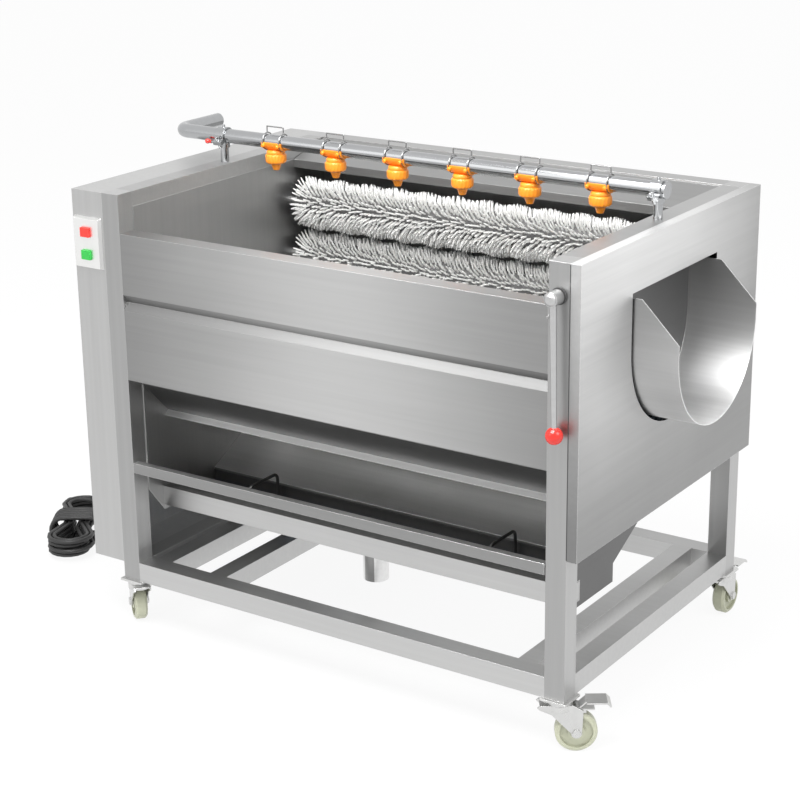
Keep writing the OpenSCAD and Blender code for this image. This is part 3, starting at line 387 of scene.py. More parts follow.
@dataclass(frozen=True)
class Moulded:
    """Moulded plastic, rubber or paint with a fine texture."""

    name: str
    tone: Triple
    rough: float = 0.4
    relief: float = 0.08
    coat: float = 0.0
    scale: float = 900.0
    vary: float = 0.08
    metal: float = 0.0
    worn: float = 1.15
    worn_lift: float = 0.02
    smooth_by: float = 0.06
    rough_by: float = 0.08
    depth: float = 0.0003

    def build(self, effects: SharedEffects) -> Material:
        """Makes the material.

        Args:
            effects: The shared node groups.

        Returns:
            The new material.
        """
        material, n, shader = start_material(self.name)
        mottle = n.place(effects.mottle, Scale=self.scale)
        wear = n.place(effects.wear, Radius=0.0010, Gain=2.0)
        smudge = n.place(effects.smudge, Scale=30.0, Contrast=2.0)
        base = n.mix(mottle["Tone"], tinted(self.tone, 1.0 - self.vary), tinted(self.tone, 1.0 + self.vary))
        worn = tinted(self.tone, self.worn, self.worn_lift)
        bump = n.add("Bump", {"Strength": self.relief, "Distance": self.depth, "Height": mottle["Height"],
                              "Normal": wear["Normal"]})
        rough = n.grade(smudge["Mask"], self.rough - self.smooth_by, self.rough + self.rough_by)
        n.fill(shader.inputs, {"Base Color": n.mix(wear["Edge"], base, worn), "Roughness": rough,
                               "Metallic": self.metal, "Coat Weight": self.coat, "Normal": bump.outputs[0]})
        return material


# Several steel finishes are copies of one stainless steel, made lighter or darker by painted light and shade
# as marked below.
FINISHES = (
    # Painted shade: faces that face front or back are darker than the sides.
    Steel("posts", (0.50, 0.50, 0.498), Axis.Z, 0.36, shaded_facing=(0.0, 1.0, 0.0), facing_shade_tone=0.81),
    # Painted shade: tops and undersides are darker than the fronts.
    Steel("rails_x", (0.55, 0.55, 0.547), Axis.X, 0.36, facing_shade_tone=0.78),
    # Painted sheen lightest near the middle, and painted shade on the sloped faces of the folds.
    Steel("front", (0.56, 0.56, 0.557), Axis.X, 0.38, middle=(0.02, 0.0, 0.0), reach=(0.50, 9.0, 9.0),
          painted_sheen_fade=0.52, shaded_lean_range=(0.3, 0.8), facing_shade_tone=0.72),
    # Painted shade: the same steel much darker for the inner back panel and ledge.
    Steel("shaded_inside", (0.34, 0.34, 0.338), Axis.X, 0.38),
    # Painted shade: all faces but those facing forward and up at 45 degrees, or the opposite way, keep only a
    # dark share of the tone.
    Steel("hemmed", (0.90, 0.90, 0.895), Axis.X, 0.40, shaded_facing=(0.0, -0.7071, 0.7071),
          shaded_lean_range=(-1.0, 0.9), facing_shade_tone=0.17),
    # Painted light and shade: a lighter tone than the front, a painted sheen lightest high at the front, and
    # painted shade on faces that face front or back.
    Steel("side", (0.86, 0.86, 0.857), Axis.Y, 0.42, middle=(0.0, -0.22, 0.90), reach=(9.0, 0.80, 0.56),
          painted_sheen_fade=0.40, shaded_facing=(0.0, 1.0, 0.0), shaded_lean_range=(0.5, 1.1), facing_shade_tone=0.70),
    # Painted reflection: the chute is lightest low down and darker towards the top.
    Steel("outlet", (0.94, 0.94, 0.935), Axis.X, 0.40, middle=(0.6, 0.0, 0.50), reach=(9.0, 9.0, 0.27),
          painted_sheen_fade=0.42),
    # Painted shade: the same steel darker for the left end wall.
    Steel("wall", (0.43, 0.43, 0.428), Axis.Z, 0.38),
    # Painted shade: the same steel near black for the right end wall, the strainer and the gate.
    Steel("gate", (0.16, 0.16, 0.16), Axis.Y, 0.34),
    Steel("cover", (0.52, 0.52, 0.517), Axis.Z, 0.40),
    # Painted shade: faces that face front or back keep a darker share of the tone.
    Steel("tray", (0.84, 0.84, 0.835), Axis.X, 0.28, shaded_facing=(0.0, 1.0, 0.0), facing_shade_tone=0.36),
    Steel("bright", (0.43, 0.437, 0.445), Axis.X, 0.14, 0.02, 0.08),
    Steel("wire", (0.34, 0.34, 0.34), Axis.X, 0.2, 0.02, 0.05),
    Steel("shaft", (0.55, 0.55, 0.55), Axis.X, 0.3),
    Steel("switch", (0.86, 0.86, 0.85), Axis.Z, 0.35, 0.03, 0.04),
    Moulded("zinc", (0.64, 0.64, 0.632), 0.28, 0.04, 0.0, 1500.0, 0.10, 1.0),
    Moulded("chain", (0.20, 0.19, 0.18), 0.4, 0.1, 0.0, 1500.0, 0.2, 0.9),
    Moulded("casting", (0.16, 0.20, 0.24), 0.5, 0.3, 0.0, 600.0),
    Moulded("motor", (0.10, 0.19, 0.32), 0.38, 0.12, 0.2, 600.0),
    Moulded("orange", (0.95, 0.30, 0.02), 0.38, 0.06, 0.15),
    Moulded("ball", (0.58, 0.018, 0.010), 0.18, 0.01, 0.3, vary=0.04),
    Moulded("red_cap", (0.62, 0.03, 0.02), 0.35, 0.04),
    Moulded("green_cap", (0.02, 0.36, 0.05), 0.35, 0.04),
    Moulded("rubber", (0.022, 0.022, 0.022), 0.48, 0.08, 0.0, 1200.0),
    Moulded("bush", (0.06, 0.06, 0.06), 0.5, 0.05),
    Moulded("bristle", (0.88, 0.88, 0.865), 0.36, 0.02, vary=0.03),
    Moulded("core", (0.10, 0.10, 0.10), 0.5, 0.05),
    Moulded("seal", (0.045, 0.045, 0.045), 0.55),
    Moulded("wheel", (0.41, 0.42, 0.315), 0.42, 0.08, 0.1, 700.0),
)

# The frame's nodes that each finish dresses.
DRESSED = {
    "posts": "corner_posts", "rails_x": "bottom_rails upper_rails motor_plate", "wall": "left_end_wall",
    "gate": "right_end_wall strainer discharge_gate", "side": "side_panel", "cover": "drive_cover",
    "front": "front_panel", "shaded_inside": "back_panel back_ledge", "hemmed": "deflector",
    "tray": "hopper_tray", "outlet": "chute", "ball": "lever_ball", "bush": "gate_bushes",
    "bright": "spray_pipe pipe_supports", "orange": "nozzles", "wire": "nozzle_clips",
    "casting": "bearings", "chain": "drive_chains", "motor": "motor gearbox", "switch": "switch_plate",
    "red_cap": "red_button", "green_cap": "green_button", "rubber": "cord_gland power_cord cord_hank plug",
    "shaft": "discharge_lever motor_sprocket roller_1 roller_2 roller_3 roller_4 roller_5 roller_6 roller_7",
    "bristle": "brush_1 brush_2 brush_3 brush_4 brush_5 brush_6 brush_7",
    "zinc": "caster_plates brake_pedal_front brake_pedal_back fork_1 fork_2 fork_3 fork_4",
    "wheel": "wheel_1 wheel_2 wheel_3 wheel_4",
}


class Wardrobe:
    """All materials of the scene, by finish name."""

    def __init__(self) -> None:
        """Builds the shared groups and every finish."""
        effects = SharedEffects()
        self.materials = {finish.name: finish.build(effects) for finish in FINISHES}

    def dress_nodes(self) -> None:
        """Gives every carried-over node its finish."""
        for finish, nodes in DRESSED.items():
            for node in nodes.split():
                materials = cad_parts[node].data.materials
                materials.clear()
                materials.append(self.materials[finish])
                LOG.info("%s dressed in %s", node, finish)


@dataclass
class Mesh:
    """Points and faces that are gathered before they become one object."""

    points: list = field(default_factory=list)
    faces: list = field(default_factory=list)
    slots: list = field(default_factory=list)

    def add(self, points: list, faces: list, slot: int = 0, copies: int = 1) -> None:
        """Adds a piece of mesh.

        Args:
            points: Its corner points, in metres, those of every copy in turn.
            faces: The faces of one copy, as tuples of point numbers.
            slot: The material slot of its faces.
            copies: How many copies the points hold.
        """
        first, block = len(self.points), len(points) // copies
        self.points.extend(points)
        starts = range(first, first + copies * block, block)
        self.faces.extend(tuple(start + i for i in face) for start in starts for face in faces)
        self.slots.extend([slot] * (len(faces) * copies))


def ring(centre: Vector, u: Vector, v: Vector, radius: float, sides: int) -> list[Vector]:
    """Points of a circle, its radius in millimetres, in the plane of two unit vectors."""
    angles = (2.0 * math.pi * i / sides for i in range(sides))
    return [centre + radius * MM * (math.cos(a) * u + math.sin(a) * v) for a in angles]


def bridge(rings: int, sides: int, ends: Ends = Ends.CLOSED) -> list[tuple[int, ...]]:
    """Skins a row of rings of equal size.

    Args:
        rings: Number of rings.
        sides: Points in each ring.
        ends: What becomes of the first and last ring.

    Returns:
        The faces as tuples of point numbers.
    """
    spans = rings if ends is Ends.JOINED else rings - 1
    faces = []
    for i in range(spans):
        near, far = i * sides, (i + 1) % rings * sides
        faces += [(near + j, near + (j + 1) % sides, far + (j + 1) % sides, far + j) for j in range(sides)]
    if ends is Ends.CLOSED:
        faces.append(tuple(reversed(range(sides))))
    if ends in (Ends.CLOSED, Ends.TIP):
        faces.append(tuple((rings - 1) * sides + j for j in range(sides)))
    return faces


@dataclass
class Assembly:
    """A sub-assembly, which gathers one mesh after another and dresses each as a piece."""

    wardrobe: Wardrobe
    mesh: Mesh = field(default_factory=Mesh, init=False)

    def lathe(self, profile: Pairs, start: Vector, along: Vector, sides: int, slot: int = 0) -> None:
        """Adds a turned form.

        Args:
            profile: Pairs of distance along the axis and radius, in millimetres.
            start: The axis's first point.
            along: The axis's direction.
            sides: Points in each ring.
            slot: Material slot.
        """
        axis = along.normalized()
        u = axis.orthogonal().normalized()
        v = axis.cross(u)
        rings = [ring(start + axis * (d * MM), u, v, max(r, SMALLEST_R), sides) for d, r in profile]
        self.mesh.add(sum(rings, []), bridge(len(rings), sides), slot)

    def sweep(self, path: list[Vector], radius: float, sides: int) -> None:
        """Adds a round tube along a path, with frames that turn as little as they can.

        Args:
            path: Points along the tube's middle.
            radius: The tube's radius, in millimetres.
            sides: Points in each ring.
        """
        points = []
        last = (path[1] - path[0]).normalized()
        u = last.orthogonal().normalized()
        for i, point in enumerate(path):
            step = (path[min(i + 1, len(path) - 1)] - path[max(i - 1, 0)]).normalized()
            u = (last.rotation_difference(step) @ u).normalized()
            u = (u - step * u.dot(step)).normalized()
            last = step
            points.extend(ring(point, u, step.cross(u), radius, sides))
        self.mesh.add(points, bridge(len(path), sides))

    def make(self, name: str, finishes: tuple[str, ...], smooth: float = 40.0,
             body: str = "machine") -> Piece:
        """Makes a piece of the gathered mesh and starts a new one.

        Args:
            name: The piece's name.
            finishes: Finish names, one for each material slot of the mesh.
            smooth: Largest angle between faces that are shaded as one, in degrees.
            body: The body that it moves with.

        Returns:
            The new piece.
        """
        mesh, self.mesh = self.mesh, Mesh()
        data = bpy.data.meshes.new(name)
        data.from_pydata(mesh.points, [], mesh.faces)
        data.validate()
        for finish in finishes:
            data.materials.append(self.wardrobe.materials[finish])
        if len(finishes) > 1 and len(data.polygons) == len(mesh.slots):
            data.polygons.foreach_set("material_index", mesh.slots)
        data.shade_smooth()
        data.set_sharp_from_angle(angle=math.radians(smooth))
        data.update()
        piece = linked(bpy.data.objects.new(name, data))
        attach(piece, body)
        LOG.info("%s: %d faces on %s", name, len(data.polygons), body)
        return piece


def catmull(points: list[Vector], count: int) -> list[Vector]:
    """Draws a smooth curve through points.

    Args:
        points: The points that it passes.
        count: Number of steps between neighbours.

    Returns:
        The curve's points.
    """
    result = []
    for i in range(len(points) - 1):
        a, b = points[max(i - 1, 0)], points[i]
        c, d = points[i + 1], points[min(i + 2, len(points) - 1)]
        for j in range(count):
            t = j / count
            bend = 2 * a - 5 * b + 4 * c - d
            result.append(0.5 * (2 * b + t * (c - a) + t * t * bend + t * t * t * (3 * b - a - 3 * c + d)))
    return result + [points[-1]]


@dataclass(frozen=True)
class Strand:
    """One strand of every tuft, its shifts and slopes along the roller and round it. Millimetres."""

    shift: float
    side: float
    lean: float
    swing: float
    radius: float
    sides: int
    share: float
    levels: Pairs


# Share of a strand's height and of its thickness at each level.
STOUT = ((0.0, 1.0), (0.62, 0.92), (0.94, 0.62), (1.0, 0.2))
FINE = ((0.3, 1.0), (1.0, 0.35))


@dataclass
class Brush(Assembly):
    """One roller's core and its tufts, whose tips follow a spiral wave. Sizes in millimetres."""

    number: int
    axis_y: float
    axis_z: float
    start_x: float = 61.5
    length: float = 837.0
    core_r: float = 33.0
    bore_r: float = 10.05
    shoulder: Pairs = ((0.0, 3.0), (2.0, 1.0), (4.0, 0.0))
    core_sides: int = 36
    tip_r: float = 53.5
    wave: float = 5.0
    wave_pitch: float = 68.0
    rows: int = 92
    around: int = 30
    bare_end: float = 3.0
    root: float = 1.0
    scatter: float = 0.045
    uneven: float = 0.9
    lean_spread: float = 0.05
    swing_spread: float = 0.035
    flare: float = 0.42
    flare_rows: int = 4
    seed: int = 40
    strands: tuple[Strand, ...] = (
        Strand(0.0, 0.0, 0.0, 0.0, 1.9, 5, 1.0, STOUT), Strand(1.1, 0.6, 0.10, 0.05, 0.6, 3, 0.96, FINE),
        Strand(-1.0, -0.7, -0.08, -0.07, 0.6, 3, 0.92, FINE))

    @property
    def start(self) -> Vector:
        """Left end of the brush's axis, in the row frame."""
        return at(self.start_x, self.axis_y, self.axis_z)

    def build(self) -> None:
        """Makes the brush in place of its plain solid."""
        left = [(0.0, self.bore_r)] + [(d, self.core_r - cut) for d, cut in self.shoulder]
        profile = left + [(self.length - d, r) for d, r in reversed(left)]
        rings = [ring(self.start + AXIS_X * (d * MM), AXIS_Y, AXIS_Z, r, self.core_sides) for d, r in profile]
        self.mesh.add(sum(rings, []), bridge(len(rings), self.core_sides, Ends.JOINED), 1)
        self.add_tufts()
        name, body = f"bristles_{self.number}", f"roller_body_{self.number}"
        piece = self.make(name, ("bristle", "core"), 60.0, body)
        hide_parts(f"brush_{self.number}")

    def add_tufts(self) -> None:
        """Adds every tuft: a stout tapered strand with two fine ones beside it."""
        chance = np.random.default_rng(self.seed + self.number)
        grid = np.meshgrid(np.arange(self.rows), np.arange(self.around), indexing="ij")
        row, col = (part.ravel() for part in grid)
        pitch = (self.length - 2.0 * self.bare_end) / self.rows
        x = self.bare_end + (row + 0.5) * pitch
        turn = 2.0 * math.pi * col / self.around + self.number + chance.normal(0.0, self.scatter, x.size)
        tip = self.tip_r - self.wave * (1.0 - np.cos(turn - 2.0 * math.pi * x / self.wave_pitch)) / 2.0
        tip -= chance.uniform(0.0, self.uneven, x.size)
        edge = np.minimum(row, self.rows - 1 - row)
        lean = np.where(edge < self.flare_rows, self.flare * (1.0 - edge / self.flare_rows), 0.0)
        lean *= np.where(row < self.rows / 2, -1.0, 1.0)
        lean += chance.normal(0.0, self.lean_spread, x.size)
        swing = chance.normal(0.0, self.swing_spread, x.size)
        for strand in self.strands:
            self.add_strands(strand, (x, turn, tip - (self.core_r - self.root), lean, swing))

    def add_strands(self, strand: Strand, tufts: tuple[np.ndarray, ...]) -> None:
        """Adds one strand for each tuft.

        Args:
            strand: The strand's own sizes.
            tufts: Place along the roller, angle round it, height, lean and swing of each tuft.
        """
        x, turn, height, lean, swing = tufts
        x, height = x + strand.shift, height * strand.share
        lean, swing = lean + strand.lean, swing + strand.swing
        angle = 2.0 * math.pi * np.arange(strand.sides) / strand.sides
        none, along = np.zeros_like(turn), np.array(AXIS_X)
        out = np.stack([none, np.cos(turn), np.sin(turn)], axis=1)
        tangent = np.stack([none, -np.sin(turn), np.cos(turn)], axis=1)
        foot = np.stack([x, none, none], axis=1) + (self.core_r - self.root) * out + strand.side * tangent
        circle = np.cos(angle)[None, :, None] * along + np.sin(angle)[None, :, None] * tangent[:, None, :]
        rings = []
        for share, thick in strand.levels:
            reached = height * share
            centre = (foot + reached[:, None] * out + (reached * lean)[:, None] * along
                      + (reached * share * swing)[:, None] * tangent)
            rings.append(centre[:, None, :] + strand.radius * thick * circle)
        points = np.concatenate(rings, axis=1).reshape(-1, 3) * MM + np.array(self.start)
        faces = bridge(len(strand.levels), strand.sides, Ends.TIP)
        self.mesh.add(list(map(tuple, points.tolist())), faces, 0, x.size)


@dataclass
class Rollers(Assembly):
    """The seven brush rollers, six on a ring and one above the last. Sizes in millimetres."""

    ring_r: float = 198.0
    ring_y: float = 330.0
    ring_z: float = 566.0
    gap: float = 108.0
    count: int = 7

    def place(self, number: int) -> tuple[float, float]:
        """Works out where a roller's axis lies.

        Args:
            number: The roller's number, from 1.

        Returns:
            Its Y and Z.
        """
        if number == self.count:
            y, z = self.place(number - 1)
            return y, z + self.gap
        pitch = 2 * math.degrees(math.asin(self.gap / 2 / self.ring_r))
        angle = math.radians(-90 - 2.5 * pitch + (number - 1) * pitch)
        return self.ring_y + self.ring_r * math.cos(angle), self.ring_z + self.ring_r * math.sin(angle)

    def build(self) -> None:
        """Makes every brush."""
        for number in range(1, self.count + 1):
            Brush(self.wardrobe, number, *self.place(number)).build()


@dataclass
class Lead(Assembly):
    """The power cord: free run, hank, its wrapping, strain relief and plug. Sizes in millimetres."""

    diameter: float = 9.0
    exit_mm: Triple = (-86.0, 600.0, 110.0)
    route: tuple[Triple, ...] = (
        (-150.0, 598.0, 100.0), (-210.0, 590.0, 60.0), (-270.0, 580.0, 5.0), (-330.0, 560.0, -35.0),
        (-385.0, 520.0, -50.0))
    curve_steps: int = 4
    place: tuple[float, float] = (-375.0, 265.0)
    direction: float = -57.0
    turns: int = 2
    layers: int = 4
    run: float = 170.0
    inner: float = 27.0
    gap: float = 1.2
    wrap_turns: int = 6
    wrap_rings: int = 24
    wrap_flat: float = 25.0
    wrap_r: float = 26.1
    lead: float = 27.0
    run_rings: int = 3
    bend_rings: int = 9
    relief_start: Pairs = ((0.0, 4.8), (0.0, 8.8))
    relief_end: Pairs = ((36.0, 5.2), (36.0, 4.6))
    relief_rib: Pairs = ((0.0, 0.0), (2.8, -0.2), (3.3, -1.6), (4.7, -1.7))
    relief_ribs: Pairs = tuple((3.0 + i * 5.2, 8.5 - i * 0.55) for i in range(6))
    plug_start: Pairs = ((0.0, 4.6), (0.0, 6.5))
    plug_rib: Pairs = ((0.0, 6.7), (2.8, 6.8), (3.2, 5.6), (4.6, 5.6))
    plug_ribs: Pairs = tuple((2.0 + i * 5.0, 0.0) for i in range(5))
    plug_end: Pairs = ((28.0, 9.5), (30.0, 11.0), (40.0, 11.8), (50.0, 12.8), (53.0, 14.0), (55.5, 14.0),
                       (56.0, 13.6), (56.0, 0.0))
    pin: Pairs = ((-2.0, 2.4), (15.5, 2.4), (18.0, 1.9), (19.0, 0.8), (19.0, 0.0))
    pin_side: float = 9.5

    @property
    def step(self) -> float:
        """Distance between the middles of two turns that lie side by side."""
        return self.diameter + self.gap

    @property
    def wrap_z(self) -> float:
        """Height of the wrapping's middle above the floor."""
        return self.wrap_r + self.diameter / 2

    @property
    def half_rings(self) -> int:
        """Points in half a turn of the hank."""
        return self.run_rings + self.bend_rings

    @property
    def last(self) -> int:
        """Number of the hank's last point."""
        return 2 * self.half_rings * self.turns * self.layers - self.bend_rings

    def from_hank(self, x: float, y: float, z: float) -> Vector:
        """Turns a point beside the hank, in millimetres, into the row frame."""
        c, s = math.cos(math.radians(self.direction)), math.sin(math.radians(self.direction))
        return at(self.place[0] + c * x - s * y, self.place[1] + s * x + c * y, z + ORIGIN[2])

    def bend_share(self, j: int) -> float:
        """How far point j is through its half turn's bend, from 0 to 1."""
        return max(0, j % self.half_rings - self.run_rings) / self.bend_rings

    def across(self, j: int) -> float:
        """Distance of point j from the hank's middle line."""
        k = ((j // self.half_rings + self.bend_share(j)) / 2) % (2 * self.turns)
        return self.inner + self.step * (self.turns - (k if k < self.turns else 2 * self.turns - k))

    def layer(self, j: int) -> float:
        """Layer of point j, counted from the top."""
        halves, size, f = j // self.half_rings, 2 * self.turns, self.bend_share(j)
        return halves // size + (1 - math.sqrt(1 - f * f) if halves % size == size - 1 else 0.0)

    def hank_point(self, j: int) -> Triple:
        """Works out one point of the hank.

        Args:
            j: The point's number.

        Returns:
            The point in the hank's own frame.
        """
        q, s, y = j % self.half_rings, 1 - 2 * ((j // self.half_rings) % 2), self.across(j)
        top = self.wrap_z + (self.layers - 1) / 2 * self.step
        z = top - self.step * min(self.layer(j), self.layers - 1)
        if q < self.run_rings:
            x = -self.run / 2 + self.run * q / self.run_rings
            share = min(1.0, max(0.0, (self.run / 2 - abs(x)) / (self.run / self.run_rings)))
            return s * x, s * (y - (self.inner - self.step / 2) * share), z
        a = math.radians(90 - 180 * (q - self.run_rings) / self.bend_rings)
        return s * (self.run / 2 + y * math.cos(a)), s * y * math.sin(a), z

    def beyond(self, point: Triple, ahead: float, aside: float = 0.0) -> Vector:
        """Point of the row frame that lies ahead and aside of a point of the hank, in millimetres."""
        return self.from_hank(point[0] - ahead, point[1] + aside, point[2])

    def line(self) -> list[Vector]:
        """Draws the whole cord's middle line.

        Returns:
            Its points from the gland to the plug, in the row frame.
        """
        ahead = [self.beyond(self.hank_point(0), k * self.lead) for k in (2, 1)]
        start = at(*self.exit_mm)
        free = [start, start - self.diameter * MM * AXIS_X] + [at(*p) for p in self.route] + ahead
        wound = [self.from_hank(*self.hank_point(j)) for j in range(self.last + 1)]
        return catmull(free, self.curve_steps) + wound + [self.beyond(self.hank_point(self.last), self.lead)]

    def build(self) -> None:
        """Makes the cord, its wrapping, the strain relief and the plug."""
        line = self.line()
        self.sweep(line, self.diameter / 2, 12)
        cord = self.make("power_lead", ("rubber",), 60.0)
        wrap = self.build_wrap()
        plug = self.build_plug()
        relief = self.build_relief()
        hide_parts("power_cord", "cord_hank")

    def build_wrap(self) -> Piece:
        """Makes the wrapping that ties the hank at its waist.

        Returns:
            The wrapping.
        """
        rings, path = self.wrap_rings, []
        for i in range(rings * self.wrap_turns + 1):
            a = 2 * math.pi * i / rings
            c, s = math.cos(a), math.sin(a)
            flat = 0.0 if i % (rings // 2) == rings // 4 else math.copysign(self.wrap_flat, c)
            path.append(self.from_hank((i / rings - self.wrap_turns / 2) * self.step, flat + self.wrap_r * c,
                                       self.wrap_z + self.wrap_r * s))
        self.sweep(path, self.diameter / 2, 10)
        return self.make("hank_wrap", ("rubber",), 60.0)

    def ribbed(self, rib: Pairs, places: Pairs) -> Pairs:
        """Repeats a rib's profile at places along a turned form."""
        return tuple((d + dd, r + dr) for d, r in places for dd, dr in rib)

    def build_relief(self) -> Piece:
        """Makes the ribbed, tapered strain relief at the gland.

        Returns:
            The strain relief.
        """
        start = at(*self.exit_mm)
        profile = self.relief_start + self.ribbed(self.relief_rib, self.relief_ribs) + self.relief_end
        self.lathe(profile, start, at(*self.route[0]) - start, 24)
        return self.make("strain_relief", ("rubber",))

    def build_plug(self) -> Piece:
        """Makes the round plug with its ribbed neck and two pins.

        Returns:
            The plug.
        """
        final = self.hank_point(self.last)
        start = self.beyond(final, self.lead)
        side = (self.beyond(final, self.lead, 1.0) - start).normalized()
        along = (self.beyond(final, self.lead + 1.0) - start).normalized()
        profile = self.plug_start + self.ribbed(self.plug_rib, self.plug_ribs) + self.plug_end
        self.lathe(profile, start, along, 32)
        face = start + along * (self.plug_end[-1][0] * MM)
        for s in (-1.0, 1.0):
            self.lathe(self.pin, face + side * (s * self.pin_side * MM), along, 16, 1)
        plug = self.make("round_plug", ("rubber", "bright"))
        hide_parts("plug")
        return plug


@dataclass
class SprayBar(Assembly):
    """The orange nozzles under the spray pipe, one every pitch. Sizes in millimetres."""

    count: int = 6
    pitch: float = 138.0
    middle_x: float = 487.5
    axis_y: float = 330.0
    axis_z: float = 800.0
    pipe_r: float = 13.5
    pipe_fit: float = 0.05
    saddle_t: float = 3.0
    saddle_l: float = 45.0
    saddle_steps: int = 20
    rim: Pairs = ((0.0, 0.8), (0.8, 0.0), (3.0, 0.0), (3.6, 0.9))
    ear: Pairs = ((0.0, 2.2), (0.0, 3.0), (0.8, 3.4), (5.2, 3.4), (6.0, 2.8), (6.0, 0.0))
    ear_inset: Triple = (6.0, 1.5, 5.0)
    ear_drop: float = 0.25
    collar: Pairs = ((15.0, 10.0), (15.0, 15.5), (17.2, 17.2), (21.2, 17.6), (22.8, 16.6), (22.8, 10.0))
    nut: Pairs = ((22.4, 12.0), (22.4, 17.6), (24.0, 19.4), (26.2, 20.0), (35.0, 20.0), (38.0, 19.0),
                  (40.2, 16.2), (41.2, 12.2), (42.0, 10.0), (47.0, 8.2), (53.0, 6.0), (53.0, 3.0),
                  (50.0, 2.6))
    ribs: int = 18
    rib_points: int = 6
    grip: tuple[float, float] = (26.0, 36.0)
    grip_depth: float = 0.7

    def build(self) -> None:
        """Makes the nozzles in place of the plain ones."""
        first = self.middle_x - (self.count - 1) / 2 * self.pitch
        pieces = [self.build_nozzle(i + 1, first + i * self.pitch) for i in range(self.count)]
        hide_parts("nozzles")

    def build_nozzle(self, number: int, x: float) -> Piece:
        """Makes one nozzle: saddle with ears, collar, ribbed nut and cone.

        Args:
            number: The nozzle's number, from 1.
            x: Its place along the pipe.

        Returns:
            The nozzle.
        """
        self.add_saddle(x)
        top = at(x, self.axis_y, self.axis_z)
        self.lathe(self.collar, top, -AXIS_Z, 36)
        self.add_nut(top)
        return self.make(f"spray_nozzle_{number}", ("orange",))

    def add_nut(self, top: Vector) -> None:
        """Adds the nut and its cone; the nut's grip has shallow ribs.

        Args:
            top: The point of the pipe's axis above the nut.
        """
        sides = self.ribs * self.rib_points
        down = -AXIS_Z
        u = down.orthogonal().normalized()
        v = down.cross(u)
        points = []
        for d, r in self.nut:
            depth = self.grip_depth if self.grip[0] <= d <= self.grip[1] else 0.0
            plain = ring(top + down * (d * MM), u, v, r, sides)
            cut = ring(top + down * (d * MM), u, v, r - depth, sides)
            points += [cut[i] if i % self.rib_points < 2 else plain[i] for i in range(sides)]
        self.mesh.add(points, bridge(len(self.nut), sides))

    def add_saddle(self, x: float) -> None:
        """Adds the half collar under the pipe with a thick rim and four ears.

        Args:
            x: Its place along the pipe.
        """
        steps, half, outer = self.saddle_steps, self.saddle_l / 2, self.pipe_r + self.saddle_t
        left = [(-half + d, outer - cut) for d, cut in self.rim]
        sections = left + [(-dx, r) for dx, r in reversed(left)]
        angles = [math.pi + math.pi * i / steps for i in range(steps + 1)]
        points = []
        for dx, r_out in sections:
            arc = [(r_out, a) for a in angles] + [(self.pipe_r + self.pipe_fit, a) for a in reversed(angles)]
            flat = [(self.axis_y + r * math.cos(a), self.axis_z + r * math.sin(a)) for r, a in arc]
            points += [at(x + dx, y, z) for y, z in flat]
        sides = 2 * (steps + 1)
        faces = bridge(len(sections), sides, Ends.OPEN)
        for base, order in ((0, 1), ((len(sections) - 1) * sides, -1)):
            far = base + sides - 1
            faces += [(far - i, far - i - 1, base + i + 1, base + i)[::order] for i in range(steps)]
        self.mesh.add(points, faces)
        inset_x, inset_y, below = self.ear_inset
        for side in (-1.0, 1.0):
            y = self.axis_y + side * (outer - inset_y)
            for end in (-1.0, 1.0):
                foot = at(x + end * (half - inset_x), y, self.axis_z - below)
                self.lathe(self.ear, foot, Vector((0.0, side, -self.ear_drop)), 12)


